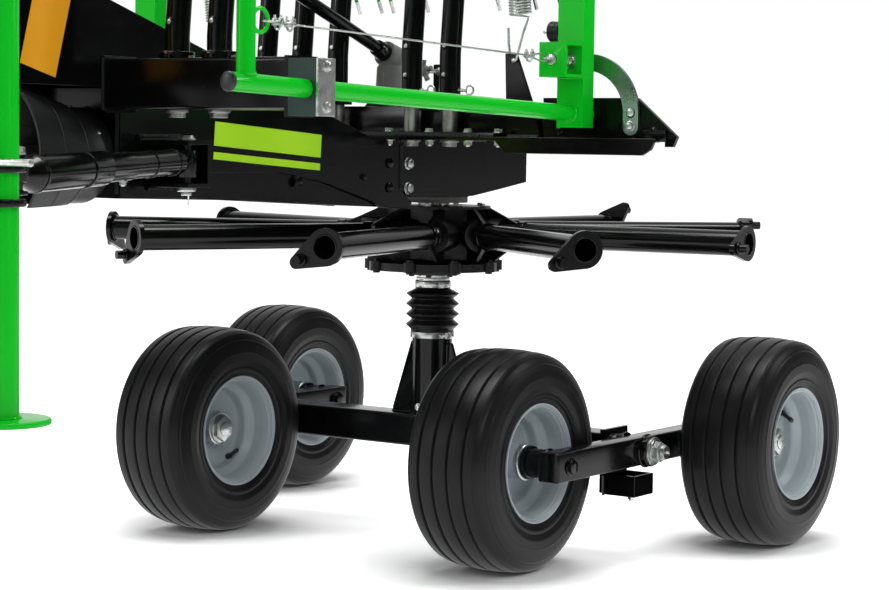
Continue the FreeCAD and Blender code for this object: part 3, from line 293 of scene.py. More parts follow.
def plastic(name, colour, rough=0.42):
    """Moulded plastic with a fine spark-eroded grain."""
    shade = new_finish(name)
    grain = shade.noise(700.0, 2.0)
    cloud = shade.noise(30.0, 3.0)
    return shade.set(
        Base_Color=shade.mix(shade.ramp(cloud, 0.3, 0.8), rgba(colour), rgba(colour, 0.8)),
        Roughness=shade.ramp(grain, 0.25, 0.75, rough - 0.05, rough + 0.08),
        Normal=shade.bump(grain, 0.15, 0.0003))


def make_finishes(finish):
    """Makes every finish that the pieces name."""
    FINISHES.update({
        "black": paint("black_paint", finish.black),
        "cast_black": paint("black_cast_paint", finish.black, rough=0.26, grain=0.55),
        "green": paint("green_paint", finish.green, rough=0.18, shine=0.2, dust=0.05),
        "rim": paint("rim_paint", finish.rim, rough=0.32, shine=0.4, dust=0.2),
        "lime": paint("lime_film", finish.lime, rough=0.35, dust=0.1),
        "orange": paint("orange_film", finish.orange, rough=0.35, dust=0.1),
        "zinc": steel("zinc_plate", (0.62, 0.64, 0.62), rough=0.28),
        "cloudy": steel("cloudy_zinc", (0.36, 0.46, 0.42), rough=0.3, spangle=28.0),
        "bright": steel("bright_steel", (0.7, 0.7, 0.7), rough=0.22, spangle=30.0),
        "bare": steel("bare_steel", (0.34, 0.335, 0.32), rough=0.36, spangle=140.0),
        "casting": casting("grey_casting", (0.26, 0.26, 0.25)),
        "tyre": rubber("tyre_rubber", finish.rubber),
        "bellows": rubber("bellows_rubber", finish.rubber, rough=0.3, dust=0.15),
        "plastic": plastic("black_plastic", (0.012, 0.012, 0.013)),
        "teal": plastic("teal_plastic", (0.003, 0.030, 0.024), rough=0.38),
        "floor": floor_finish(),
    })


UNLIT = (-0.82, 0.57, 0.0)


def seen_directly(shade):
    """1 for rays from the camera, straight or through clear pieces."""
    straight = shade.add("ShaderNodeLightPath", output="Is Camera Ray")
    through = shade.add("ShaderNodeLightPath", output="Is Transmission Ray")
    return shade.ramp(straight + through, 0.0, 1.0)


def shiny(shade):
    """1 for rays off shiny surfaces."""
    return shade.add("ShaderNodeLightPath", output="Is Glossy Ray")


def floor_finish():
    """White floor that keeps the object's shadow, with a painted shadow round each wheel's footprint where
    its glow fades. Shiny surfaces find it dark on the studio's unlit side.
    """
    shade = new_finish("studio_floor")
    camera, shine = seen_directly(shade), shiny(shade)
    # Distances to the wheels' footprints, round which the floor's shadow is painted.
    painted_shadow_spots = [shade.distance((centre.x, centre.y, 0.0)) for _, centre, _ in wheel_places()]
    near = painted_shadow_spots[0]
    for spot in painted_shadow_spots[1:]:
        near = shade.add("ShaderNodeMath", {"operation": "MINIMUM"}, {0: near, 1: spot})
    # Painted shadow: the glow seen by the camera is gone within 0.14 m of a footprint and full past 0.46 m,
    # whatever shades the floor.
    clear = shade.ramp(near, 0.14, 0.46)
    unlit = shade.ramp(shade.dot(shade.where(), UNLIT), 0.35, 2.2, 0.8, 0.01)
    glow = camera * clear * (2.0 - clear) + shine * unlit
    return shade.set(Base_Color=rgba((0.9, 0.9, 0.9)), Roughness=1.0, Specular_IOR_Level=0.0,
                     Emission_Color=shade.mix(glow, (0, 0, 0, 1), (1, 1, 1, 1)), Emission_Strength=0.66)


# ---------------------------------------------------------------- mesh helpers

def settle(mesh_object, body, finish, angle=32.0):
    """Shades a finished mesh and lets it ride on its body. A piece that bends between two has none here."""
    mesh = mesh_object.data
    mesh.polygons.foreach_set("use_smooth", [True] * len(mesh.polygons))
    mesh.set_sharp_from_angle(angle=math.radians(angle))
    mesh.materials.clear()
    mesh.materials.append(FINISHES[finish])
    if body:
        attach(mesh_object, body)
    return mesh_object


def place_data(data, name):
    """Puts a mesh, a curve, a lamp or a camera into the scene as an object."""
    placed = bpy.data.objects.new(name, data)
    bpy.context.scene.collection.objects.link(placed)
    return placed


def to_object(bm, name):
    """Turns a bmesh into an object in the scene."""
    mesh = bpy.data.meshes.new(name)
    bm.to_mesh(mesh)
    bm.free()
    return place_data(mesh, name)


def publish(bm, name, body, finish, angle=32.0):
    """Turns a bmesh into a piece."""
    bmesh.ops.recalc_face_normals(bm, faces=bm.faces)
    return settle(to_object(bm, name), body, finish, angle)


def skin(bm, node, finish, angle=32.0):
    """A piece made anew in a CAD node's place."""
    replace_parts(publish(bm, node + "_skin", body_of(node), finish, angle), node)


def aim(start, direction):
    """A matrix that carries +Z to a direction and the origin to a point."""
    turn = Vector(direction).to_track_quat("Z", "Y").to_matrix().to_4x4()
    return Matrix.Translation(Vector(start)) @ turn


def rod(bm, start, end, radius, end_radius=None, segments=32, chamfer=0.0):
    """A round bar between two points, with its ends chamfered."""
    start, end = Vector(start), Vector(end)
    length = (end - start).length
    end_radius = radius if end_radius is None else end_radius
    made = bmesh.ops.create_cone(
        bm, cap_ends=True, segments=segments, radius1=radius, radius2=end_radius, depth=length,
        matrix=aim(start, end - start) @ Matrix.Translation((0, 0, length / 2)))
    if chamfer:
        caps = dict.fromkeys(face for vert in made["verts"] for face in vert.link_faces
                             if len(face.verts) > 4)
        bmesh.ops.bevel(bm, geom=[edge for face in caps for edge in face.edges], offset=chamfer, segments=2,
                        profile=0.5, affect="EDGES", material=-1)
    return made["verts"]


def slab(bm, low, high, bevel=0.001, segments=2, matrix=None):
    """A box between two corners with its edges rounded."""
    low, high = Vector(low), Vector(high)
    size = high - low
    where = Matrix.Translation((low + high) / 2) @ Matrix.Diagonal((*size, 1.0))
    made = bmesh.ops.create_cube(bm, size=1.0, matrix=(matrix or Matrix.Identity(4)) @ where)
    if bevel:
        edges = dict.fromkeys(edge for vert in made["verts"] for edge in vert.link_edges)
        bmesh.ops.bevel(bm, geom=list(edges), offset=bevel, segments=segments, profile=0.5, affect="EDGES",
                        material=-1)


def rounded(corners, steps=5):
    """Points of an outline whose corners, given as (across, up, radius), are turned into arcs."""
    points = []
    count = len(corners)
    for k, (across, up, radius) in enumerate(corners):
        here = Vector((across, up))
        if radius <= 0:
            points.append((across, up))
            continue
        before = (Vector(corners[k - 1][:2]) - here)
        after = (Vector(corners[(k + 1) % count][:2]) - here)
        half = before.angle(after) / 2
        if half > math.radians(89):
            points.append((across, up))
            continue
        reach = min(radius / math.tan(half), before.length * 0.49, after.length * 0.49)
        radius = reach * math.tan(half)
        centre = here + (before.normalized() + after.normalized()).normalized() * radius / math.sin(half)
        first = here + before.normalized() * reach - centre
        last = here + after.normalized() * reach - centre
        turn = first.angle_signed(last)
        for step in range(steps + 1):
            angle = -turn * step / steps
            points.append((centre.x + first.x * math.cos(angle) - first.y * math.sin(angle),
                           centre.y + first.x * math.sin(angle) + first.y * math.cos(angle)))
    return points


def lathe(bm, profile, matrix, steps=64, closed=True):
    """Spins a profile of (radius, height) pairs about the matrix's Z axis."""
    verts = [bm.verts.new(matrix @ Vector((radius, 0, height))) for radius, height in profile]
    count = len(verts)
    edges = [bm.edges.new((verts[k], verts[(k + 1) % count])) for k in range(count if closed else count - 1)]
    axis = (matrix.to_3x3() @ Z).normalized()
    bmesh.ops.spin(bm, geom=verts + edges, cent=matrix.translation, axis=axis, angle=math.tau, steps=steps,
                   use_merge=True)


def weld(bm, distance=1e-5):
    """Merges points that stand closer than a distance."""
    bmesh.ops.remove_doubles(bm, verts=bm.verts, dist=distance)


def turn_solid(bm, profile, matrix, steps):
    """A turned part without a bore: its profile runs from the axis back to the axis."""
    lathe(bm, profile, matrix, steps, closed=False)
    weld(bm)


def ring(bm, matrix, radii, ends, corners, steps=48, arc=2, inner_corner=0.0):
    """A flat ring or sleeve about the matrix's Z axis, between two radii and two heights."""
    (inner, outer), (low, high), (low_corner, high_corner) = radii, ends, corners
    lathe(bm, rounded([(inner, low, 0), (outer, low, low_corner), (outer, high, high_corner),
                       (inner, high, inner_corner)], arc), matrix, steps)


def hexagon(bm, base, direction, across, height, dish=0.12):
    """A hexagon nut or head, its outer corners turned off."""
    radius = across / math.sqrt(3)
    base, direction = Vector(base), Vector(direction).normalized()
    shoulder = base + direction * height * (1 - dish)
    rod(bm, base, shoulder, radius, segments=6)
    rod(bm, shoulder, base + direction * height, radius, across * 0.46, segments=6)


def bolt(bm, base, direction, size, washer=True, thread=0.0):
    """A hexagon bolt head on its washer; with a thread, a nut with the bolt's end through it."""
    base, direction = Vector(base), Vector(direction).normalized()
    if washer:
        rod(bm, base, base + direction * size * 0.17, size * 1.15, segments=28, chamfer=size * 0.03)
        base = base + direction * size * 0.17
    height = size * (0.8 if thread else 0.64)
    hexagon(bm, base, direction, size * 1.6, height)
    if thread:
        rod(bm, base, base + direction * (height + thread), size * 0.5, segments=20, chamfer=size * 0.08)


def pipes(routes, name, body, finish, radius, round_by=4, cyclic=False):
    """Round wires or tubes along routes of points, as one piece."""
    curve = bpy.data.curves.new(name + "_route", "CURVE")
    curve.dimensions = "3D"
    curve.bevel_depth = radius
    curve.bevel_resolution = round_by
    curve.use_fill_caps = True
    for route in routes:
        spline = curve.splines.new("POLY")
        spline.points.add(len(route) - 1)
        for point, place in zip(spline.points, route):
            point.co = (*place[:3], 1.0)
            point.radius = place[3] if len(place) > 3 else 1.0
        spline.use_cyclic_u = cyclic
    carrier = place_data(curve, name + "_carrier")
    mesh = bpy.data.meshes.new_from_object(carrier)
    mesh.name = name
    bpy.data.objects.remove(carrier)
    return settle(place_data(mesh, name), body, finish, 50.0)


BEAD_PITCH = 0.0035


def ripple(step):
    """Share of a weld bead's full radius at one step along it."""
    return 0.82 + 0.18 * (step % 2)


def bead(start, end, pitch=BEAD_PITCH):
    """Route of a weld bead, its radius rippled along its length."""
    start, end = Vector(start), Vector(end)
    count = max(4, int((end - start).length / (pitch / 2)))
    return [(*start.lerp(end, k / count), ripple(k)) for k in range(count + 1)]


def body_of(node):
    """The body that a CAD node rides on."""
    return frame["nodes"][node]["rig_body"]


def dress(node, finish, bevel=0.0012, angle=32.0, segments=2, shape=None):
    """A copy of a CAD node in its place, with doubles merged, flat faces joined and edges rounded."""
    bm = bmesh.new()
    bm.from_mesh(frame["nodes"][node].data)
    weld(bm, 2e-6)
    if shape:
        shape(bm)
    bmesh.ops.dissolve_limit(bm, angle_limit=math.radians(0.5), verts=bm.verts, edges=bm.edges,
                             use_dissolve_boundaries=False)
    piece = settle(to_object(bm, node + "_skin"), body_of(node), finish, angle)
    if bevel:
        edge = piece.modifiers.new("edges", "BEVEL")
        edge.width = bevel
        edge.segments = segments
        edge.limit_method = "ANGLE"
        edge.angle_limit = math.radians(angle)
        edge.harden_normals = True
        edge.use_clamp_overlap = True
    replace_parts(piece, node)
    return piece


DRESSED = {
    "black": ["cross_beam", "column_tube", "beam_side_plates", "beam_box", "rear_housing", "rear_bar",
              "front_bars", "tine_arms_rear", "tine_arms_front_left", "tine_arms_front_right",
              "hinge_plates", "neck_head", "strut_brackets", "height_crank"],
    "cast_black": ["rotor_hub"],
    "green": ["guard_frame_left", "guard_frame_right"],
    "zinc": ["clamp_covers", "pivot_shafts", "yaw_pins", "link_pins", "top_link_pin", "pto_input_shaft"],
    "cloudy": ["sector_plates"],
    "bare": ["arm_pegs"],
    "bright": ["column_piston"],
    "casting": ["gearbox"],
    "teal": ["clamp_blocks"],
    "plastic": ["pto_cone"],
}


class RAKE_OT_frame(bpy.types.Operator):
    """Finishes the construction model's own pieces"""
    bl_idname = "rake.frame"
    bl_label = "Frame pieces"

    def execute(self, context):
        make_finishes(context.scene.rake_finish)
        for finish, nodes in DRESSED.items():
            for node in nodes:
                dress(node, finish)
        return {"FINISHED"}


# ---------------------------------------------------------------- wheels

AXLE_Z = 0.2286
WALK_Y = 0.535


def tyre_outline(tyre):
    """A tyre's section as (radius, across, corner), from bead to bead."""
    crown, drop, half_tread, groove = 0.2286, 0.0072, 0.080, tyre.groove_width / 2
    marks = [tyre.rib * (k - 1.5) for k in range(4)]

    def height(across):
        return crown - drop * (abs(across) / half_tread) ** 2.2
    points = []
    for mark in marks:
        top = height(mark)
        points += [(top, mark - groove - 0.001, 0.0012), (top - tyre.groove, mark - groove * 0.45, 0.001),
                   (top - tyre.groove, mark + groove * 0.45, 0.001), (top, mark + groove + 0.001, 0.0012)]
    flank = [(height(0.0745), 0.0745, 0.001), (height(0.0755) - 0.0012, 0.0755, 0.0005),
             (height(0.0768) - 0.0002, 0.0768, 0.001), (0.2165, 0.0838, 0.008), (0.2075, 0.0895, 0.010),
             (0.2045, 0.0905, 0.001), (0.2015, 0.0932, 0.001), (0.190, 0.0968, 0.012), (0.176, 0.0987, 0.02),
             (0.1755, 0.0993, 0.0), (0.1738, 0.0993, 0.0), (0.1733, 0.0988, 0.0), (0.157, 0.0985, 0.02),
             (0.1435, 0.0942, 0.006), (0.1405, 0.0952, 0.002), (0.1360, 0.0948, 0.002),
             (0.1330, 0.0905, 0.003), (0.1275, 0.0893, 0.003), (0.1246, 0.0878, 0.001),
             (0.1160, 0.0872, 0.001)]
    return [(up, -across, turn) for up, across, turn in reversed(flank)] + points + flank


RIM_SIDE = [(0.1228, 0.0915, 0.0010), (0.1228, 0.0872, 0.0008), (0.1140, 0.0868, 0.002),
            (0.1105, 0.0680, 0.003), (0.1085, 0.0450, 0.003), (0.0930, 0.0330, 0.004)]
RIM_FACE = [(0.0895, 0.0050, 0.010), (0.0895, 0.0300, 0.012), (0.1055, 0.0440, 0.010),
            (0.1078, 0.0660, 0.010), (0.1110, 0.0800, 0.008), (0.1200, 0.0915, 0.0016)]
HUB_NUT_SIDE, HUB_AXLE_SIDE = 0.0330, 0.0615


def rim_outline():
    """A rim's section as (radius, across, corner), its nut's side positive."""
    under = RIM_SIDE + [(up, -across, turn) for up, across, turn in reversed(RIM_SIDE)]
    behind = [(up, -across, turn) for up, across, turn in reversed(RIM_FACE)]
    hub = [(0.0364, -0.0045, 0.004), (0.0364, -HUB_AXLE_SIDE, 0.0012), (0.0305, -HUB_AXLE_SIDE, 0.0012),
           (0.0305, HUB_NUT_SIDE, 0.0012), (0.0364, HUB_NUT_SIDE, 0.0012), (0.0364, 0.0045, 0.004)]
    return under + behind + hub + RIM_FACE


def wheel_places():
    """Each wheel's name, centre and the way its nut points."""
    for end, outward in (("front", -1), ("rear", 1)):
        for side, sign in SIDES.items():
            low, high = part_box(f"tyre_{end}_{side}")
            yield f"{end}_{side}", (low + high) / 2, sign * outward


class RAKE_OT_wheels(bpy.types.Operator):
    """Makes the tyres, rims, hub rings, wheel nuts and valves"""
    bl_idname = "rake.wheels"
    bl_label = "Wheels"

    def execute(self, context):
        section = rounded(tyre_outline(context.scene.rake_tyre), 3)
        rim = rounded(rim_outline(), 5)
        axles = {side: bmesh.new() for side in SIDES}
        for corner, centre, way in wheel_places():
            body = body_of("tyre_" + corner)
            turned = aim(centre, Y * way)
            bm = bmesh.new()
            lathe(bm, section, turned, steps=128)
            skin(bm, "tyre_" + corner, "tyre", 24.0)
            bm = bmesh.new()
            lathe(bm, rim, turned, steps=96)
            skin(bm, "rim_" + corner, "rim", 50.0)
            self.hub(corner, centre, way, body)
            self.valve(corner, centre, way, body)
            side = corner.split("_")[1]
            flank = Vector((centre.x, WALK_Y * SIDES[side] + 0.0248 * way, centre.z))
            rod(axles[side], flank, centre + Y * way * (HUB_NUT_SIDE - 0.001), 0.0300, segments=56)
            collar = centre - Y * way * HUB_AXLE_SIDE
            rod(axles[side], collar - Y * way * 0.012, collar - Y * way * 0.0006, 0.0345, segments=56,
                chamfer=0.0010)
        for side, bm in axles.items():
            skin(bm, "axles_" + side, "black")
        return {"FINISHED"}

    @staticmethod
    def hub(corner, centre, way, body):
        axle = body_of("axles_" + corner.split("_")[1])
        bm = bmesh.new()
        for side, depth in ((way, HUB_NUT_SIDE), (-way, HUB_AXLE_SIDE)):
            lathe(bm, rounded([(0.0365, depth - 0.011, 0.0006), (0.0382, depth - 0.011, 0.0008),
                               (0.0382, depth - 0.001, 0.0016), (0.0350, depth + 0.0004, 0.0010),
                               (0.0308, depth - 0.001, 0.0010), (0.0308, depth - 0.011, 0.0005)], 3),
                  aim(centre, Y * side), steps=64)
        publish(bm, f"hub_rings_{corner}", body, "zinc")
        bm = bmesh.new()
        out = Y * way
        washer = centre + out * (HUB_NUT_SIDE - 0.0012)
        rod(bm, washer, washer + out * 0.0040, 0.0325, segments=56, chamfer=0.0010)
        hexagon(bm, washer + out * 0.0040, out, 0.050, 0.0105)
        rod(bm, washer + out * 0.0140, washer + out * 0.0170, 0.0165, 0.0160, segments=40, chamfer=0.0010)
        rod(bm, washer + out * 0.0168, washer + out * 0.0178, 0.0050, 0.0030, segments=24)
        publish(bm, f"axle_nut_{corner}", axle, "zinc")

    @staticmethod
    def valve(corner, centre, way, body):
        turn = math.radians(-126 if corner.startswith("front") else 139)
        outward = Vector((math.cos(turn), 0, math.sin(turn)))
        root = centre + outward * 0.0885 + Y * way * 0.012
        tip = centre + outward * 0.0640 + Y * way * 0.050
        stem = tip - root
        bm = bmesh.new()
        rod(bm, root, root + stem * 0.24, 0.0080, 0.0056, segments=24)
        rod(bm, root + stem * 0.2, root + stem * 0.80, 0.0047, 0.0043, segments=20)
        rod(bm, root + stem * 0.76, tip, 0.0054, 0.0050, segments=16, chamfer=0.0009)
        publish(bm, f"valve_{corner}", body, "plastic")


# ---------------------------------------------------------------- routes and repeated small parts

def mirrored(point, sign):
    """A point on the machine's left, or its mirror image on the right."""
    return Vector((point[0], point[1] * sign, point[2]))


def helix(start, end, radius, turns, per_turn=14, phase=0.0):
    """Points of a coil wound between two points."""
    start, end = Vector(start), Vector(end)
    turned = aim(start, end - start)
    length = (end - start).length
    count = int(turns * per_turn)
    points = []
    for k in range(count + 1):
        angle = phase + math.tau * turns * k / count
        place = (radius * math.cos(angle), radius * math.sin(angle), length * k / count)
        points.append(turned @ Vector(place))
    return points


def circle_bead(centre, axis, radius, pitch=BEAD_PITCH):
    """Route of a weld bead round a tube."""
    turned = aim(centre, axis)
    count = 2 * int(math.pi * radius / pitch)
    points = []
    for k in range(count):
        angle = math.tau * k / count
        place = turned @ Vector((radius * math.cos(angle), radius * math.sin(angle), 0))
        points.append((*place, ripple(k)))
    return points


def box_bead(corners):
    """Weld beads along the sides of a closed outline of corners."""
    return [bead(corners[k - 1], corner) for k, corner in enumerate(corners)]


def torus(bm, centre, axis, radius, wire, steps=40, around=10):
    """A ring of round wire."""
    section = [(radius + wire * math.cos(math.tau * k / around), wire * math.sin(math.tau * k / around))
               for k in range(around)]
    lathe(bm, section, aim(centre, axis), steps)


def hose_clamp(bm, centre, radius, width, screw):
    """A band round a vertical hose, with its worm housing and screw at an angle."""
    half = width / 2
    ring(bm, aim(centre, Z), (radius, radius + 0.0009), (-half, half), (0.0003, 0.0003), 72)
    turned = Matrix.Translation(centre) @ Matrix.Rotation(math.radians(screw), 4, "Z")
    slab(bm, (radius, -0.009, -half - 0.001), (radius + 0.0075, 0.009, half + 0.001), 0.0015, matrix=turned)
    head = turned @ Vector((radius + 0.004, 0.009, 0))
    along = turned.to_3x3() @ Y
    hexagon(bm, head, along, 0.007, 0.005)
    rod(bm, head - along * 0.018, head - along * 0.024, 0.0028, segments=14)


# ---------------------------------------------------------------- chassis and walking beams

def castle_nut(bm, base, way, across, height):
    """A castle nut, with the slots of its crown cut by leaving its teeth apart."""
    base, way = Vector(base), Vector(way)
    hexagon(bm, base, way, across, height * 0.66)
    crown = aim(base + way * height * 0.62, way)
    reach = across * 0.42
    inner, half = reach * 0.62, reach * 0.36
    for tooth in range(6):
        turned = crown @ Matrix.Rotation(math.tau * tooth / 6, 4, "Z")
        slab(bm, (inner, -half, 0), (reach, half, height * 0.38), 0.0006, matrix=turned)


TRAY_LOW, TRAY_ROOT = 0.1335, 0.480


class RAKE_OT_chassis(bpy.types.Operator):
    """Makes the nuts, clamps, bellows and welds of the running gear"""
    bl_idname = "rake.chassis"
    bl_label = "Running gear details"

    def execute(self, context):
        chassis = body_of("cross_beam")
        dress("stop_brackets", "black", shape=self.slim_tray)
        self.beams()
        self.pivots(chassis)
        self.axle_bolts()
        piston = body_of("column_piston")
        self.column(chassis, piston)
        self.bellows(chassis, piston)
        self.welds(chassis)
        return {"FINISHED"}

    @staticmethod
    def slim_tray(bm):
        """Draws the stop pockets in to their true width and lift, and rounds their inner lower corner."""
        lift = TRAY_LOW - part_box("stop_brackets")[0].z
        for vert in bm.verts:
            side = 1 if vert.co.y > 0 else -1
            vert.co.y = side * (TRAY_ROOT + (abs(vert.co.y) - TRAY_ROOT) * 0.78)
            vert.co.z += lift
        bmesh.ops.dissolve_limit(bm, angle_limit=math.radians(0.5), verts=bm.verts, edges=bm.edges,
                                 use_dissolve_boundaries=False)

        def inner_corner(vert):
            return abs(vert.co.z - TRAY_LOW) < 1e-4 and abs(vert.co.y) < TRAY_ROOT + 0.0015
        corners = [edge for edge in bm.edges if all(inner_corner(vert) for vert in edge.verts)]
        bmesh.ops.bevel(bm, geom=corners, offset=0.009, segments=5, profile=0.5, affect="EDGES", material=-1)

    @staticmethod
    def beams():
        """Walking beams as sharp-cornered box tubes with their pivot boss."""
        for side, sign in SIDES.items():
            bm = bmesh.new()
            near, far = sorted((0.5100 * sign, 0.5600 * sign))
            slab(bm, (-0.3500, near, 0.1986), (0.3500, far, 0.2586), 0.0042, 3)
            for way in (1, -1):
                ring(bm, aim((0, WALK_Y * sign, AXLE_Z), Y * way), (0.0201, 0.0330), (0.0240, 0.0400),
                     (0.0, 0.0015), 72, 3, inner_corner=0.0006)
            skin(bm, "walking_beam_" + side, "black")

    @staticmethod
    def pivots(chassis):
        nuts, pads = bmesh.new(), bmesh.new()
        for sign in SIDES.values():
            out = Y * sign
            face = Vector((0, 0.5813 * sign, AXLE_Z))
            rod(nuts, face, face + out * 0.003, 0.0262, segments=40, chamfer=0.0008)
            castle_nut(nuts, face + out * 0.003, out, 0.038, 0.021)
            rod(nuts, face, face + out * 0.0240, 0.0118, segments=32, chamfer=0.0012)
            rod(nuts, face + out * 0.0185 - Z * 0.019, face + out * 0.0185 + Z * 0.019, 0.0019, segments=12)
            rod(nuts, face + out * 0.0240, face + out * 0.0275, 0.0046, segments=6)
            rod(nuts, face + out * 0.0275, face + out * 0.0325, 0.0034, 0.0022, segments=16)
            rod(nuts, face + out * 0.0325, face + out * 0.0350, 0.0031, 0.0018, segments=16)
            stop = Vector((0.034, 0.5440 * sign, TRAY_LOW))
            bolt(nuts, stop, -Z, 0.008, washer=False, thread=0.004)
            near, far = sorted((0.4890 * sign, 0.5500 * sign))
            slab(pads, (-0.022, near, TRAY_LOW + 0.0055), (0.042, far, TRAY_LOW + 0.0280), 0.005, 3)
        publish(nuts, "pivot_nuts", chassis, "zinc")
        publish(pads, "stop_pads", chassis, "tyre")

    @staticmethod
    def axle_bolts():
        for side, sign in SIDES.items():
            bm = bmesh.new()
            for x, y, way in ((0.3065, 0.560, 1), (-0.314, 0.510, -1)):
                base, out = Vector((x, y * sign, AXLE_Z)), Y * sign * way
                rod(bm, base, base + out * 0.0030, 0.0180, segments=36, chamfer=0.001)
                hexagon(bm, base + out * 0.0030, out, 0.026, 0.0080)
            publish(bm, f"axle_bolts_{side}", body_of(f"walking_beam_{side}"), "black")

    @staticmethod
    def column(chassis, piston):
        bm = bmesh.new()
        hose_clamp(bm, (0, 0, 0.4435), 0.0484, 0.013, 78.0)
        bolt(bm, (0.045, -0.005, 0.281), X, 0.0075)
        publish(bm, "column_fittings", chassis, "zinc")
        bm = bmesh.new()
        hose_clamp(bm, (0, 0, 0.5575), 0.0394, 0.013, 62.0)
        rod(bm, (0, 0, 0.5675), (0, 0, 0.5735), 0.0378, segments=56, chamfer=0.0008)
        publish(bm, "piston_fittings", piston, "zinc")
        bm = bmesh.new()
        ring(bm, aim((0, 0, 0), Z), (0.0361, 0.0628), (0.5795, 0.5900), (0.0015, 0.0008), 72, 3)
        for k in range(6):
            angle = math.tau * (k + 0.4) / 6
            bolt(bm, (0.0505 * math.cos(angle), 0.0505 * math.sin(angle), 0.5797), -Z, 0.0075, washer=False)
        publish(bm, "piston_flange", piston, "black")

    @staticmethod
    def bellows(chassis, piston):
        """A boot of four folds between the clamps of the column and of its piston."""
        pitch, low, folds, cuff = 0.0232, 0.4553, 4, 0.018
        high = low + pitch * folds
        outer = [(0.0483, low - cuff, 0.0008), (0.0483, low, 0.002)]
        for k in range(folds):
            outer.append((0.0608, low + pitch * (k + 0.5), 0.0022))
            outer.append((0.0462, low + pitch * (k + 1), 0.0022))
        outer[-1] = (0.0393, high - 0.001, 0.002)
        outer.append((0.0393, high + cuff, 0.0008))
        inner = [(0.0362, high + cuff, 0), (0.0362, low, 0.001), (0.0452, low - 0.0005, 0.001),
                 (0.0452, low - cuff, 0)]
        bm = bmesh.new()
        lathe(bm, rounded(outer + inner, 3), aim((0, 0, 0), Z), 96)
        piece = publish(bm, "bellows_skin", None, "bellows", 60.0)
        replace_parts(piece, "bellows")
        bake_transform(piece)

    @staticmethod
    def welds(chassis):
        low, reach, column = 0.2625, 0.104, 0.0455
        routes = [circle_bead((0, 0, low), Z, 0.0465)]
        for x in (0.0065, -0.0065):
            for sign in SIDES.values():
                routes.append(bead((x, sign * 0.052, low), (x, sign * reach, low)))
                routes.append(bead((x, sign * column, 0.272), (x, sign * column, 0.424)))
        for sign in SIDES.values():
            plate = sign * 0.4745
            corners = [(0.0405, plate, 0.191), (0.0405, plate, 0.2625), (-0.0405, plate, 0.2625),
                       (-0.0405, plate, 0.191)]
            routes += [bead(first, last) for first, last in zip(corners, corners[1:])]
            tray = 0.4858 * sign
            routes += [bead((-0.03, tray, 0.1765), (0.05, tray, 0.1765)),
                       bead((0.0512, tray, 0.132), (0.0512, tray, 0.174))]
        pipes(routes, "chassis_welds", chassis, "black", 0.0032, 1)
        for side, sign in SIDES.items():
            boss = [circle_bead((0, (WALK_Y + 0.0255 * way) * sign, AXLE_Z), Y, 0.0335) for way in (1, -1)]
            spacer = [circle_bead((x, (WALK_Y + 0.0262 * way) * sign, AXLE_Z), Y, 0.0308)
                      for x, way in ((0.3065, -1), (-0.314, 1))]
            pipes(boss + spacer, f"walking_welds_{side}", body_of(f"walking_beam_{side}"), "black", 0.003, 1,
                  cyclic=True)


# ---------------------------------------------------------------- rotor

ARMS = 9
ARM_TURN = 14.3
ARM_Z, ARM_OFFSET = 0.672, 0.057
LATCH_END, LATCH_DROP = 0.763, 0.058
ARM_ROLLS = (-63, -64, -82, -112, -132, -110, -75, -55, -50)


def arm_turn(number):
    """Turn about the rotor's axis to an arm, or part of the way to the next."""
    return Matrix.Rotation(math.radians(ARM_TURN + 360 / ARMS * number), 4, "Z")


def arm_frame(number):
    """Matrix of a rotor arm: +X along its tube, and -Z towards its latch once it is rolled."""
    roll = Matrix.Rotation(math.radians(ARM_ROLLS[number]), 4, "X")
    offset = Matrix.Translation((0, ARM_OFFSET, 0))
    return Matrix.Translation((0, 0, ARM_Z)) @ arm_turn(number) @ offset @ roll


class RAKE_OT_rotor(bpy.types.Operator):
    """Makes the hub's bolts and the arms' latches, rings and welds"""
    bl_idname = "rake.rotor"
    bl_label = "Rotor details"

    def execute(self, context):
        body = body_of("rotor_hub")
        dress("rotor_arms", "black", shape=self.shorten)
        dark, bright, routes = bmesh.new(), bmesh.new(), []
        for k in range(ARMS):
            hexagon(dark, arm_turn(k) @ Vector((0.144, 0, 0.5902)), -Z, 0.015, 0.0048)
            hexagon(dark, arm_turn(k) @ Vector((0.144, 0, 0.6118)), Z, 0.015, 0.0060)
            bolt(bright, arm_turn(k + 0.36) @ Vector((0.114, 0, 0.7349)), Z, 0.0072)
            arm = arm_frame(k)
            along = arm.to_3x3() @ X
            routes.append(circle_bead(arm @ Vector((0.7292, 0, 0)), along, 0.0282))
            routes.append(circle_bead(arm @ Vector((0.2045, 0, 0)), along, 0.0282))
            latch = arm @ Vector((0.7408, 0, -LATCH_DROP))
            rod(dark, latch, latch + along * 0.005, 0.0128, segments=28, chamfer=0.001)
            ring(dark, arm @ aim((0, 0, 0), X), (0.0226, 0.0258), (0.7395, 0.7418), (0.0, 0.0008),
                 inner_corner=0.0005)
            screw = arm @ Vector((0.1965, 0, 0.0294))
            hexagon(bright, screw, arm.to_3x3() @ Z, 0.008, 0.004)
        publish(dark, "rotor_bolts", body, "black")
        publish(bright, "cover_bolts", body, "zinc")
        pipes(routes, "arm_welds", body, "black", 0.0026, 1, cyclic=True)
        return {"FINISHED"}

    @staticmethod
    def shorten(bm):
        """Draws the latch pins in to their visible length."""
        for k in range(ARMS):
            arm = arm_frame(k)
            back = arm.inverted()
            for vert in bm.verts:
                local = back @ vert.co
                if local.x > LATCH_END and math.hypot(local.y, local.z + LATCH_DROP) < 0.0125:
                    vert.co = arm @ Vector((LATCH_END, local.y, local.z))


# ---------------------------------------------------------------- beam, rear bar and crank

FLANGE_TOP = 0.882
BEAM_SIDE = 0.105
BAR_SEAT = 0.8905
REAR_PEGS = [0.098 * k for k in (-2.5, -1.5, -0.5, 1.5, 2.5)]
FRONT_PEGS = [0.098 * k for k in (2.5, 3.5)]
PEG_X = {"rear": 0.295, "front": 1.140}
PEG_SEAT = {"rear": 0.955, "front": 1.020}


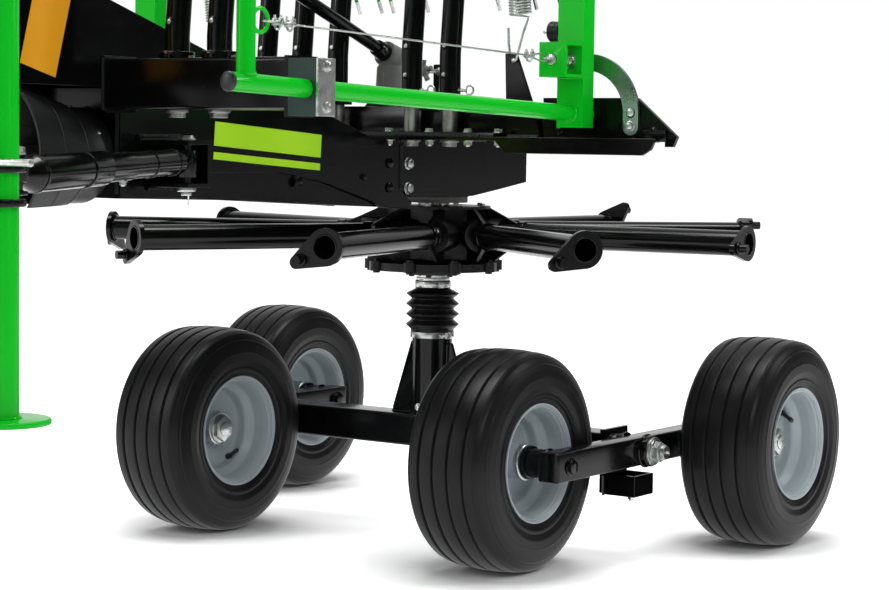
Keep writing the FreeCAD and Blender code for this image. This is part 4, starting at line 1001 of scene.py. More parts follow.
def peg_places():
    """Each stored tine arm's row, x, y and the height that its collar stands at."""
    for y in REAR_PEGS:
        yield "rear", PEG_X["rear"], y, PEG_SEAT["rear"]
    for sign in SIDES.values():
        for y in FRONT_PEGS:
            yield "front", PEG_X["front"], y * sign, PEG_SEAT["front"]


class RAKE_OT_beam(bpy.types.Operator):
    """Makes the bolts, welds and stripes of the beam and the rear bar"""
    bl_idname = "rake.beam"
    bl_label = "Beam details"

    def execute(self, context):
        body = body_of("rear_bar")
        self.bolts(body)
        self.welds(body)
        self.stripes(body)
        return {"FINISHED"}

    @staticmethod
    def bolts(body):
        zinc, dark = bmesh.new(), bmesh.new()
        for sign in SIDES.values():
            for y in (0.102, 0.206, 0.303, 0.378):
                bolt(zinc, (0.312, y * sign, 0.8982), Z, 0.0098)
                bolt(zinc, (0.312, y * sign, 0.8818), -Z, 0.0104, thread=0.003)
            out = Y * sign
            for z in (0.831, 0.778):
                bolt(zinc, (0.2475, BEAM_SIDE * sign, z), out, 0.0118)
            for z in (0.832, 0.7805):
                plug = Vector((0.3143, BEAM_SIDE * sign, z))
                rod(dark, plug, plug + out * 0.0045, 0.0105, segments=28, chamfer=0.0015)
            bolt(dark, (0.406, BEAM_SIDE * sign, 0.803), out, 0.007)
            for x in (0.62, 0.98):
                plug = Vector((x, BEAM_SIDE * sign, 0.795))
                rod(dark, plug, plug + out * 0.0025, 0.011, segments=28, chamfer=0.001)
        for x, y in ((-0.165, 0.07), (-0.165, -0.07), (0.06, 0.085), (0.06, -0.085)):
            bolt(zinc, (x, y, FLANGE_TOP), Z, 0.0095)
        publish(zinc, "beam_bolts", body, "zinc")
        publish(dark, "beam_plugs", body, "black")
        web = bmesh.new()
        slab(web, (0.2585, -0.468, 0.8900), (0.2625, 0.468, 0.9520), 0.001)
        publish(web, "rear_web", body, "black")

    @staticmethod
    def welds(body):
        lines = [((0.976, 0.1075, 0.8775), (1.090, 0.1075, 0.8765)),
                 ((0.976, 0.1075, 0.8825), (1.090, 0.1075, 0.8815)),
                 ((1.0, 0.1065, 0.7880), (1.066, 0.1065, 0.7880)),
                 ((0.2722, 0.1052, 0.776), (0.2722, 0.1052, 0.872)),
                 ((1.1365, 0.098, 0.778), (1.1365, 0.098, 0.925)),
                 ((0.2605, 0.47, BAR_SEAT), (0.2605, 0.56, BAR_SEAT)),
                 ((0.2605, 0.60, BAR_SEAT), (0.2605, 0.70, BAR_SEAT)),
                 ((0.2815, 0.380, BAR_SEAT), (0.2815, 0.455, BAR_SEAT))]
        flange = FLANGE_TOP + 0.0005
        lines += [((first, 0.104, flange), (last, 0.104, flange))
                  for first, last in ((-0.18, -0.13), (-0.05, 0.0), (0.08, 0.13))]
        lines += [((x, y - 0.02, BAR_SEAT), (x, y + 0.02, BAR_SEAT))
                  for x in (0.2655, 0.3245) for y in (0.15, 0.32)]
        root = [(1.0985, 0.1070, 0.9285), (1.1815, 0.1070, 0.9285), (1.1815, 0.1070, 1.0215),
                (1.0985, 0.1070, 1.0215)]
        routes = []
        for sign in SIDES.values():
            routes += box_bead([mirrored(corner, sign) for corner in root])
            routes += [bead(mirrored(first, sign), mirrored(last, sign)) for first, last in lines]
        pipes(routes, "beam_welds", body, "cast_black", 0.0052, 1)

    @staticmethod
    def stripes(body):
        bm = bmesh.new()
        turned = Matrix.Translation((0.552, 0, 0.8075)) @ Matrix.Rotation(math.radians(-4.0), 4, "Y")
        for sign in SIDES.values():
            near, far = sorted(((BEAM_SIDE - 0.0001) * sign, (BEAM_SIDE + 0.0004) * sign))
            for low, high in ((0.036, 0.082), (0.010, 0.024)):
                slab(bm, (0, near, low), (0.329, far, high), 0, matrix=turned)
        publish(bm, "beam_stripes", body, "lime")


class RAKE_OT_crank(bpy.types.Operator):
    """Makes the crank's cast elbow with its mounting plate and the locking knob behind it"""
    bl_idname = "rake.crank"
    bl_label = "Height crank"

    def execute(self, context):
        body = body_of("crank_gearbox")
        seat, lean = Vector((0.195, 0, 1.0695)), math.radians(20)
        along = Vector((math.cos(lean), 0, math.sin(lean)))
        self.casting(body, seat, along)
        self.fittings(body, seat, along)
        self.knob(body)
        return {"FINISHED"}

    @staticmethod
    def casting(body, seat, along):
        bm = bmesh.new()
        rod(bm, (0.172, 0, 0.934), (0.170, 0, 1.040), 0.0340, 0.0300, segments=48)
        back = seat - along * 0.050
        rod(bm, back, seat - along * 0.0015, 0.0300, 0.0275, segments=48)
        bmesh.ops.create_uvsphere(bm, u_segments=32, v_segments=20, radius=0.0300,
                                  matrix=Matrix.Translation(back))
        slab(bm, (0.138, -0.004, 0.935), (0.150, 0.004, 1.050), 0.001)
        slab(bm, (0.190, -0.004, 0.935), (0.205, 0.004, 1.035), 0.001)
        rod(bm, (0.1745, 0, 0.930), (0.1745, 0, 0.941), 0.0350, segments=48)
        piece = publish(bm, "crank_casting", body, "casting", 60.0)
        merge = piece.modifiers.new("cast", "REMESH")
        merge.mode = "VOXEL"
        merge.voxel_size = 0.0016
        merge.use_smooth_shade = True
        smooth = piece.modifiers.new("fillets", "SMOOTH")
        smooth.factor = 0.5
        smooth.iterations = 9
        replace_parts(piece, "crank_gearbox")

    @staticmethod
    def fittings(body, seat, along):
        dark, zinc = bmesh.new(), bmesh.new()
        rod(dark, (0.148, 0, FLANGE_TOP), (0.148, 0, 0.931), 0.027, segments=48, chamfer=0.001)
        rod(dark, (0.2075, -0.006, 0.929), (0.2145, -0.006, 0.929), 0.0390, segments=64, chamfer=0.0012)
        slab(dark, (0.2075, -0.0446, FLANGE_TOP), (0.2145, 0.0326, 0.929), 0.001)
        slab(dark, (0.165, -0.010, FLANGE_TOP), (0.2085, -0.002, 0.925), 0.001)
        lathe(dark, rounded([(0.0142, -0.012, 0), (0.0200, -0.012, 0.001), (0.0200, 0.012, 0.001),
                             (0.0175, 0.030, 0.002), (0.0142, 0.030, 0)], 3), aim(seat, along), 48)
        for y in (-0.0265, 0.0145):
            bolt(zinc, (0.2145, y, 0.931), X, 0.0074)
        rod(zinc, seat + along * 0.019 - Y * 0.021, seat + along * 0.019 + Y * 0.021, 0.0028, segments=14)
        publish(dark, "crank_mount", body, "black")
        publish(zinc, "crank_bolts", body, "zinc")

    @staticmethod
    def knob(body):
        centre = Vector((0.180, 0.094, 1.030))
        dark, zinc, grip = bmesh.new(), bmesh.new(), bmesh.new()
        slab(dark, (0.110, 0.076, FLANGE_TOP), (0.118, 0.112, 1.046), 0.003)
        slab(dark, (0.090, 0.076, FLANGE_TOP), (0.140, 0.112, 0.888), 0.001)
        front, back = (Vector((x, centre.y, centre.z)) for x in (0.118, 0.104))
        rod(zinc, back, (0.172, centre.y, centre.z), 0.0048, segments=20, chamfer=0.0008)
        hexagon(zinc, front, X, 0.016, 0.006)
        hexagon(zinc, back, -X, 0.016, 0.006)
        rod(grip, centre - X * 0.009, centre + X * 0.005, 0.0125, segments=32, chamfer=0.0015)
        for lobe in range(5):
            angle = math.tau * (lobe + 0.2) / 5
            way = Vector((0, math.cos(angle), math.sin(angle)))
            rod(grip, centre + way * 0.008, centre + way * 0.0235, 0.0048, 0.0062, segments=18,
                chamfer=0.0015)
        publish(dark, "knob_bracket", body, "black")
        publish(zinc, "knob_stud", body, "zinc")
        publish(grip, "locking_knob", body, "casting")


# ---------------------------------------------------------------- stored tine arms

ARM_RADIUS, COIL_RADIUS = 0.02225, 0.0150
TINE_BEND_Z = 1.060
TINE_LEAN = 5.0
TINE_ROWS = [0.205 + 0.160 * k for k in range(4)]


def tine_frames():
    """Matrix of each double tine on the leaning part of its arm: +X towards the front, +Z up the arm."""
    lean = math.radians(TINE_LEAN)
    for _, x, y, _ in peg_places():
        for rise in TINE_ROWS:
            place = (x - rise * math.sin(lean), y, TINE_BEND_Z + rise * math.cos(lean))
            yield Matrix.Translation(place) @ Matrix.Rotation(-lean, 4, "Y")


class RAKE_OT_tines(bpy.types.Operator):
    """Makes the coiled double tines, their clamps and the pins of the stored arms"""
    bl_idname = "rake.tines"
    bl_label = "Tines"

    def execute(self, context):
        tine = context.scene.rake_tine
        body = body_of("tines")
        wire = tine.wire / 2
        seat = -(ARM_RADIUS + COIL_RADIUS + 0.0003)
        radius = COIL_RADIUS - wire
        half = self.half_route(tine, seat, radius, wire)
        route = half + [(x, -y, z) for x, y, z in reversed(half)]
        routes, tips, clamps = [], [], bmesh.new()
        for turned in tine_frames():
            points = [turned @ Vector(point) for point in route]
            routes.append(points)
            for end, before in ((points[0], points[1]), (points[-1], points[-2])):
                way = (before - end).normalized()
                tips.append([end - way * 0.0004, end + way * 0.030])
            ahead, forward = turned @ Vector((0.0220, 0, 0)), turned.to_3x3() @ X
            plate = seat - radius - 0.0085
            slab(clamps, (plate, -0.015, -0.010), (plate + 0.0040, 0.015, 0.010), 0.0008, 1, turned)
            hexagon(clamps, turned @ Vector((plate, 0, 0)), -forward, 0.017, 0.0075)
            rod(clamps, turned @ Vector((seat, 0, 0)), ahead, 0.0055, segments=12)
            hexagon(clamps, ahead, forward, 0.017, 0.0085)
        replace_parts(pipes(routes, "tine_wires", body, "green", wire, 1), "tines")
        pipes(tips, "tine_tips", body, "bright", wire * 1.03, 1)
        publish(clamps, "tine_clamps", body, "zinc")
        self.arm_fittings(body)
        return {"FINISHED"}

    @staticmethod
    def half_route(tine, seat, radius, wire):
        """One wire from its tip through its coil to the middle of the pair."""
        out, inner = tine.apart, 0.0115
        route = [(seat - tine.reach - 0.045 + wire, out, -0.0585), (seat - tine.reach, out, 0.0040),
                 (seat - tine.reach + 0.014, out, 0.0065)]
        turns, steps = 2.5, 12
        count = int(turns * steps)
        for k in range(count + 1):
            angle = math.radians(-90) + math.tau * turns * k / count
            across = out + (inner - out) * k / count
            route.append((seat + radius * math.cos(angle), across, radius * math.sin(angle)))
        route.append((seat - radius * 0.7, inner * 0.92, radius * 0.72))
        route.append((seat - radius - wire * 0.2, inner * 0.7, 0.0))
        return route

    @staticmethod
    def arm_fittings(body):
        zinc, dark, lean = bmesh.new(), bmesh.new(), math.radians(TINE_LEAN)
        for row, x, y, seat in peg_places():
            for lift in (0.062, 0.120):
                z = seat + lift
                if z < TINE_BEND_Z:
                    middle, way = Vector((x, y, z)), X
                else:
                    rise = z - TINE_BEND_Z
                    middle = Vector((x - rise * math.tan(lean), y, z))
                    way = Vector((math.cos(lean), 0, math.sin(lean)))
                rod(dark, middle - way * 0.0240, middle + way * 0.0240, 0.0085, segments=24, chamfer=0.0012)
                rod(zinc, middle - way * 0.0255, middle + way * 0.0255, 0.0046, segments=18, chamfer=0.0008)
            if row == "rear":
                pin = Vector((x, y, 0.9855))
                rod(zinc, pin - Y * 0.0265, pin + Y * 0.041, 0.0040, segments=16, chamfer=0.0006)
                torus(zinc, pin + Y * 0.0495, X, 0.0092, 0.0020, 32, 8)
            else:
                for side in (1, -1):
                    slab(dark, (x - 0.030, y - 0.017, seat + 0.0002), (x + 0.030, y + 0.017, seat + 0.0085),
                         0.002)
                    bolt(zinc, (x + 0.0268 * side, y, seat + 0.0085), Z, 0.0052)
                    bolt(zinc, (x + 0.004 * side, y + 0.0365 * side, seat), Z, 0.0058)
        publish(zinc, "arm_pins", body, "zinc")
        publish(dark, "arm_bosses", body, "black")


# ---------------------------------------------------------------- guards

GUARD_Y = 0.565
RAIL_TILT = math.radians(1.8874)
RAIL_WAY = Vector((math.cos(RAIL_TILT), 0, math.sin(RAIL_TILT)))


def rail_z(x):
    """Height of a guard's rail over a place x."""
    return 0.937 + (x - 0.300) * math.tan(RAIL_TILT)


class RAKE_OT_guards(bpy.types.Operator):
    """Makes the guards' caps, rings, cables, latches, buffers and springs"""
    bl_idname = "rake.guards"
    bl_label = "Guard details"

    def execute(self, context):
        for side, sign in SIDES.items():
            body = body_of(f"guard_frame_{side}")
            self.rail_parts(side, sign, body)
            self.cable(side, sign, body)
            self.latch(side, sign, body)
            self.welds(side, sign, body)
            self.spring(side, sign, body, context.scene.rake_spring)
        self.blocks(body_of("clamp_covers"))
        self.hinges(body_of("hinge_plates"))
        return {"FINISHED"}

    @staticmethod
    def rail_parts(side, sign, body):
        bm = bmesh.new()
        end = mirrored((1.378, GUARD_Y, rail_z(1.378)), sign)
        turn_solid(bm, [(0.0, 0.0048), (0.0050, 0.0046), (0.0100, 0.0038), (0.0140, 0.0024),
                        (0.0162, 0.0004), (0.0166, -0.0012), (0.0166, -0.0030), (0.0, -0.0030)],
                   aim(end, RAIL_WAY), 48)
        publish(bm, f"rail_cap_{side}", body, "plastic", 50.0)
        bm = bmesh.new()
        torus(bm, mirrored((1.2985, GUARD_Y, 1.0735), sign), Y, 0.0195, 0.0036, 56, 14)
        publish(bm, f"cable_ring_{side}", body, "green", 60.0)
        rubber_pad, zinc = bmesh.new(), bmesh.new()
        inner, way = mirrored((0.322, 0.535, 1.100), sign), Y * -sign
        lathe(rubber_pad, rounded([(0.0, 0.0, 0), (0.0215, 0.0, 0.002), (0.0200, 0.013, 0.01),
                                   (0.0215, 0.027, 0.003), (0.0, 0.027, 0)], 3), aim(inner, way), 48)
        rod(zinc, inner + way * 0.0266, inner + way * 0.0290, 0.0120, segments=36, chamfer=0.0006)
        hexagon(zinc, inner + way * 0.0290, way, 0.013, 0.0065)
        rod(zinc, inner + way * 0.0350, inner + way * 0.0440, 0.0034, segments=16, chamfer=0.0006)
        publish(rubber_pad, f"buffer_{side}", body, "tyre", 40.0)
        publish(zinc, f"buffer_stud_{side}", body, "zinc")

    @staticmethod
    def cable(side, sign, body):
        near, far = Vector((1.2815, GUARD_Y, 1.0725)), Vector((0.4440, GUARD_Y, 1.0452))
        front_clips, rear_clip = (1.2530, 1.2215), 0.4900

        def height(x):
            share = (x - far.x) / (near.x - far.x)
            return far.z + (near.z - far.z) * share
        run = [(x, GUARD_Y, height(x))
               for x in (0.500, 0.560, 0.640, 0.740, 0.860, 0.980, 1.080, 1.150, 1.210)]
        loop = [(1.253, GUARD_Y + 0.0020, height(1.253)), (1.268, GUARD_Y + 0.0052, 1.0722),
                (1.280, GUARD_Y + 0.0056, near.z), (1.2868, GUARD_Y + 0.0030, near.z),
                (1.2868, GUARD_Y - 0.0030, near.z), (1.280, GUARD_Y - 0.0056, near.z),
                (1.268, GUARD_Y - 0.0052, 1.0722), (1.253, GUARD_Y - 0.0020, height(1.253)),
                (1.200, GUARD_Y - 0.0024, height(1.200) - 0.001)]
        eye = [(0.490, GUARD_Y, 1.0468), (0.468, GUARD_Y, 1.0500), (0.448, GUARD_Y, 1.0520),
               (0.4300, GUARD_Y, 1.0490), (0.4260, GUARD_Y, 1.0430), (0.4320, GUARD_Y, 1.0370),
               (0.450, GUARD_Y, 1.0372), (0.468, GUARD_Y, 1.0410), (0.490, GUARD_Y, 1.0450),
               (0.512, GUARD_Y, 1.0452)]
        routes = [[mirrored(point, sign) for point in route] for route in (eye[:1] + run + loop, eye)]
        pipes(routes, f"guard_cable_{side}", body, "zinc", 0.0017, 2)
        bm = bmesh.new()
        for x in (*front_clips, rear_clip):
            middle = mirrored((x, GUARD_Y, height(x) if x > 0.5 else 1.0462), sign)
            slab(bm, middle - Vector((0.0045, 0.0100, 0.0045)), middle + Vector((0.0045, 0.0100, 0.0035)),
                 0.0014)
            for out in (0.0068, -0.0068):
                stud = middle + Y * out
                rod(bm, stud - Z * 0.0060, stud + Z * 0.0130, 0.0022, segments=12, chamfer=0.0004)
                hexagon(bm, stud + Z * 0.0034, Z, 0.0082, 0.0046)
            torus(bm, middle - Z * 0.0050, X, 0.0058, 0.0021, 24, 8)
        eye_bolt = mirrored((0.4190, GUARD_Y, 1.0430), sign)
        torus(bm, eye_bolt + X * 0.0060, Z, 0.0068, 0.0022, 32, 10)
        publish(bm, f"cable_clips_{side}", body, "zinc")

    @staticmethod
    def latch(side, sign, body):
        axis = mirrored((0.346, GUARD_Y, 1.042), sign)
        bm = bmesh.new()
        rod(bm, axis + X * 0.060, axis + X * 0.0668, 0.0105, segments=32, chamfer=0.001)
        rod(bm, axis + X * 0.0445, axis + X * 0.0475, 0.0205, segments=40, chamfer=0.0006)
        rod(bm, axis + X * 0.002, axis + X * 0.0045, 0.0175, segments=40, chamfer=0.0006)
        torus(bm, axis + X * 0.051 + Z * 0.004, Y, 0.0085, 0.0014, 28, 8)
        rod(bm, axis + X * 0.051 - Z * 0.020, axis + X * 0.051 + Z * 0.014, 0.0017, segments=12)
        publish(bm, f"latch_washers_{side}", body, "zinc")
        coil = helix(axis + X * 0.006, axis + X * 0.043, 0.0138, 6, 16)
        pipes([coil], f"latch_spring_{side}", body, "zinc", 0.0015, 1)

    @staticmethod
    def welds(side, sign, body):
        rings = [circle_bead(mirrored((1.334, GUARD_Y, rail_z(1.334) + 0.0150), sign), Z, 0.0160),
                 circle_bead(mirrored((0.3415, GUARD_Y, rail_z(0.3415)), sign), RAIL_WAY, 0.0165)]
        rings += [circle_bead(mirrored((0.3412, GUARD_Y, z), sign), X, 0.0165) for z in (1.540, 2.0795)]
        routes = [bead(mirrored((0.3410, 0.536, z), sign), mirrored((0.3410, 0.593, z), sign))
                  for z in (1.0075, 1.0765)]
        pipes(rings, f"guard_ring_welds_{side}", body, "green", 0.0030, 1, cyclic=True)
        pipes(routes, f"latch_welds_{side}", body, "green", 0.0026, 1)

    @staticmethod
    def spring(side, sign, body, spring):
        low, high = Vector((0.2790, 0.406, 1.140)), Vector((0.3020, 0.406, 1.340))
        middle = spring.across / 2 - spring.wire / 2
        turns = int((high - low).length / (spring.wire + 0.0008))
        coil = helix(low, high, middle, turns, 16, phase=math.radians(200))
        foot = [(0.2800, 0.3780, 1.112), (0.2790, 0.3785, 1.082), (0.2740, 0.3800, 1.052),
                (0.2755, 0.3850, 1.0400), (0.2810, 0.3920, 1.0420), (0.2860, 0.4010, 1.0460),
                (0.2850, 0.4080, 1.0700), (0.2820, 0.4150, 1.100), (0.2790, 0.4210, 1.120),
                (0.2760, 0.4240, 1.134)]
        crown = [(0.3040, 0.402, 1.348), (0.3060, 0.406, 1.356), (0.3080, 0.416, 1.366),
                 (0.3100, 0.421, 1.378), (0.3095, 0.417, 1.388), (0.3090, 0.409, 1.386),
                 (0.3090, 0.407, 1.378)]
        points = [mirrored(point, sign) for point in foot + coil + crown]
        piece = pipes([points], f"spring_coil_{side}", None, "zinc", spring.wire / 2, 2)
        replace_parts(piece, f"guard_spring_{side}")
        mirrored(low, sign)
        mirrored(high, sign)
        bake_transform(piece)

    @staticmethod
    def blocks(body):
        bm = bmesh.new()
        for sign in SIDES.values():
            for z in (0.9345, 1.0035):
                bolt(bm, (1.1565, 0.5930 * sign, z), Y * sign, 0.0085)
        publish(bm, "clamp_bolts", body, "zinc")

    @staticmethod
    def hinges(body):
        zinc, dark = bmesh.new(), bmesh.new()
        for sign in SIDES.values():
            pin = mirrored((0.2620, GUARD_Y, rail_z(0.2620)), sign)
            ring(zinc, aim(pin, -RAIL_WAY), (0.0162, 0.0250), (0.0003, 0.0028), (0.0005, 0.0005), 40)
            bolt(zinc, mirrored((0.2800, 0.669, 0.914), sign), X, 0.0095)
            stud = mirrored((0.2720, 0.6683, 0.9415), sign)
            rod(zinc, stud, stud + X * 0.0090, 0.0084, segments=32, chamfer=0.0008)
            bolt(zinc, mirrored((0.2800, 0.553, 1.041), sign), X, 0.0075)
            for y in (0.50, 0.72):
                plug = mirrored((0.2715, y, 0.904), sign)
                rod(dark, plug, plug + X * 0.0030, 0.0095, segments=28, chamfer=0.001)
            tab = Matrix.Translation((0.2722, 0, 0.884)) @ Matrix.Rotation(math.radians(12), 4, "Y")
            near, far = sorted((0.682 * sign, 0.748 * sign))
            slab(dark, (0, near, 0), (0.0035, far, 0.023), 0.0014, matrix=tab)
        publish(zinc, "hinge_fittings", body, "zinc")
        publish(dark, "hinge_tabs", body, "black")


# ---------------------------------------------------------------- front end

def band(bm, matrix, radii, along):
    """A narrow raised band round a strut."""
    ring(bm, matrix, radii, (along - 0.003, along + 0.003), (0.0008, 0.0008), 56)


def trim(bm, place, way):
    """Cuts off what lies past a plane and gives the edges of the cut."""
    geometry = list(bm.verts) + list(bm.edges) + list(bm.faces)
    cut = bmesh.ops.bisect_plane(bm, geom=geometry, plane_co=place, plane_no=way, clear_outer=True)
    return [edge for edge in cut["geom_cut"] if isinstance(edge, bmesh.types.BMEdge)]


STAND_AT = Vector((1.715, 0.4015, 0))
STRUT_FROM, STRUT_TO = Vector((1.040, 0.180, 0.838)), Vector((1.612, 0.330, 0.819))
STRUT_BARREL = [(0.0, 0.012, 0), (0.0150, 0.012, 0.002), (0.0225, 0.040, 0.004), (0.0235, 0.044, 0.002),
                (0.0235, 0.226, 0.001), (0.0256, 0.228, 0.001), (0.0256, 0.440, 0), (0.0, 0.440, 0)]
STRUT_SLEEVE = [(0.0282, 0.321, 0), (0.0300, 0.321, 0.001), (0.0300, 0.546, 0.004), (0.0225, 0.564, 0.004),
                (0.0150, 0.582, 0), (0.0, 0.582, 0), (0.0, 0.555, 0), (0.0282, 0.549, 0)]


class RAKE_OT_front(bpy.types.Operator):
    """Makes the blank sign, the bell guard's ribs and the fittings of the struts, stands and headstock"""
    bl_idname = "rake.front"
    bl_label = "Front end details"

    def execute(self, context):
        beam, head = body_of("neck_head"), body_of("headstock_frame")
        self.sign_plate(beam)
        self.bell(beam)
        for side, sign in SIDES.items():
            self.strut(side, sign)
            self.strut_pin(beam, side, sign)
        dress("headstock_frame", "black", shape=self.trim_lugs)
        self.lugs(head)
        self.headstock(head)
        self.stands()
        return {"FINISHED"}

    @staticmethod
    def sign_plate(body):
        bm = bmesh.new()
        turned = Matrix.Translation((1.3004, 0, 0.9828)) @ Matrix.Rotation(math.radians(-15.2), 4, "Y")
        slab(bm, (0, 0.1050, 0), (0.0884, 0.1060, 0.170), 0.0003, 1, turned)
        publish(bm, "blank_sign", body, "orange")

    @staticmethod
    def bell(body):
        ribs, rivets = bmesh.new(), bmesh.new()
        axis_z, start, length, small, large = 0.846, 1.180, 0.200, 0.088, 0.151
        for share in (0.14, 0.56):
            radius = small + (large - small) * share - 0.0008
            torus(ribs, (start + length * share, 0, axis_z), X, radius, 0.0028, 96, 8)
        torus(ribs, (start + length - 0.003, 0, axis_z), X, large - 0.0035, 0.0030, 96, 10)
        bmesh.ops.contextual_create(ribs, geom=trim(ribs, (0, 0, 0.7575), (0, 0, -1)))
        for angle in (-150, -30, 30, 90, 150):
            way = Vector((0, math.cos(math.radians(angle)), math.sin(math.radians(angle))))
            place = Vector((1.160, 0, axis_z)) + way * small
            rod(rivets, place - way * 0.001, place + way * 0.0025, 0.0065, segments=20, chamfer=0.001)
        publish(ribs, "bell_ribs", body, "plastic", 60.0)
        publish(rivets, "bell_rivets", body, "zinc")
        splines = bmesh.new()
        for k in range(6):
            turned = Matrix.Translation((1.3005, 0, axis_z)) @ Matrix.Rotation(math.tau * k / 6, 4, "X")
            slab(splines, (0, -0.0042, 0.0168), (0.0590, 0.0042, 0.0196), 0.0005, 1, turned)
        publish(splines, "input_splines", body_of("pto_input_shaft"), "bright")

    @staticmethod
    def strut(side, sign):
        """A strut's tube with its plug, and the sleeved rod that slides in it."""
        line, foot = mirrored((STRUT_TO - STRUT_FROM).normalized(), sign), mirrored(STRUT_FROM, sign)
        bm = bmesh.new()
        turn_solid(bm, rounded(STRUT_BARREL, 3), aim(foot, line), 56)
        rod(bm, foot - Z * 0.0295, foot + Z * 0.0205, 0.0195, segments=48, chamfer=0.0015)
        for along in (0.062, 0.150):
            band(bm, aim(foot, line), (0.0232, 0.0248), along)
        skin(bm, "strut_tube_" + side, "black")
        bm = bmesh.new()
        turn_solid(bm, rounded(STRUT_SLEEVE, 3), aim(foot, line), 56)
        eye = mirrored(Vector((1.612, 0.330, 0.833)), sign)
        rod(bm, eye - Z * 0.0245, eye + Z * 0.0180, 0.0195, segments=48, chamfer=0.0015)
        for along in (0.384, 0.540):
            band(bm, aim(foot, line), (0.0296, 0.0314), along)
        skin(bm, "strut_rod_" + side, "black")
        bm = bmesh.new()
        bolt(bm, foot + line * 0.242 - Z * 0.0254, -Z, 0.0070, thread=0.002)
        publish(bm, f"strut_plug_{side}", body_of("strut_tube_" + side), "zinc")

    @staticmethod
    def strut_pin(beam, side, sign):
        """Ends of the pin through a strut's rear eye, and its cotter."""
        foot = mirrored(STRUT_FROM, sign)
        bm = bmesh.new()
        low = foot - Z * 0.0565
        rod(bm, low + Z * 0.001, low + Z * 0.0085, 0.0175, segments=32, chamfer=0.0008)
        rod(bm, low - Z * 0.0065, low + Z * 0.001, 0.0098, segments=28, chamfer=0.0012)
        high = foot + Z * 0.0380
        rod(bm, high, high + Z * 0.004, 0.0165, segments=32, chamfer=0.0008)
        rod(bm, high + Z * 0.004, high + Z * 0.009, 0.0135, 0.0115, segments=28)
        publish(bm, f"strut_pin_ends_{side}", beam, "zinc")
        pin = [low + mirrored(point, sign) for point in (
            (0.006, 0.016, 0.0), (-0.004, 0.004, -0.0015), (-0.012, -0.006, -0.002),
            (-0.0165, -0.010, -0.008), (-0.0175, -0.011, -0.024))]
        pipes([pin], f"strut_cotter_{side}", beam, "zinc", 0.0016, 2)

    @staticmethod
    def trim_lugs(bm):
        """Takes the stands' broad guide plates off the headstock, for the slimmer lugs that carry them."""
        for way in SIDES.values():
            bmesh.ops.edgenet_fill(bm, edges=trim(bm, (0, 0.3660 * way, 0), (0, way, 0)))

    @staticmethod
    def lugs(head):
        bm = bmesh.new()
        for sign in SIDES.values():
            leg = mirrored(STAND_AT, sign)
            near, far = sorted((0.3560 * sign, 0.3720 * sign))
            for low, high in ((0.7735, 0.7855), (0.8255, 0.8375)):
                ring(bm, aim(leg, Z), (0.0284, 0.0385), (low, high), (0.0025, 0.0025), 72, 3)
                slab(bm, (1.690, near, low + 0.0004), (1.742, far, high - 0.0004), 0.002)
            slab(bm, (1.6740, near, 0.7760), (1.7060, far, 0.8370), 0.002)
            fork = mirrored(STRUT_TO, sign)
            for low in (0.7880, 0.8440):
                rod(bm, (fork.x, fork.y, low), (fork.x, fork.y, low + 0.0065), 0.0175, segments=40,
                    chamfer=0.0015)
                slab(bm, (fork.x, fork.y - 0.0155, low), (1.6500, fork.y + 0.0155, low + 0.0065), 0.0015)
            slab(bm, (1.6430, fork.y - 0.0150, 0.7530), (1.6500, fork.y + 0.0150, 0.8505), 0.0015)
            rod(bm, (fork.x, fork.y, 0.7870), (fork.x, fork.y, 0.8520), 0.0098, segments=32, chamfer=0.001)
        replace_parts(publish(bm, "strut_lugs", head, "black"), "strut_forks")

    @staticmethod
    def headstock(head):
        zinc, dark = bmesh.new(), bmesh.new()
        for sign in SIDES.values():
            fork = mirrored(STRUT_TO, sign)
            rod(zinc, fork + Z * 0.0325, fork + Z * 0.0365, 0.0150, segments=32, chamfer=0.0008)
            hexagon(zinc, fork + Z * 0.0365, Z, 0.024, 0.009)
            link = mirrored((1.775, 0.2815, 0.775), sign)
            ring(dark, aim(link, Y * sign), (0.0112, 0.0260), (0.0063, 0.0100), (0.001, 0.001), 40)
            tip = mirrored((1.775, 0.3500, 0.775), sign)
            rod(zinc, tip - Z * 0.020, tip + Z * 0.022, 0.0042, segments=16, chamfer=0.0006)
            torus(zinc, tip + Z * 0.012 + Y * sign * 0.012, Z, 0.0155, 0.0018, 36, 8)
            mast = mirrored((1.672, 0.0762, 1.02), sign)
            for lift in (0.0, 0.12):
                bolt(dark, mast + Z * lift, Y * sign, 0.0085)
        publish(zinc, "headstock_pins", head, "zinc")
        publish(dark, "headstock_bosses", head, "black")
        routes = []
        for sign in SIDES.values():
            for y in (0.0635, 0.0765):
                routes.append(bead((1.6505, y * sign, 0.8015), (1.7095, y * sign, 0.8015)))
            flank = 0.3668 * sign
            routes += [bead((1.6580, flank, 0.7990), (1.6740, flank, 0.7990)),
                       bead((1.7095, flank, 0.757), (1.7095, flank, 0.773))]
        pipes(routes, "headstock_welds", head, "black", 0.0032, 1)

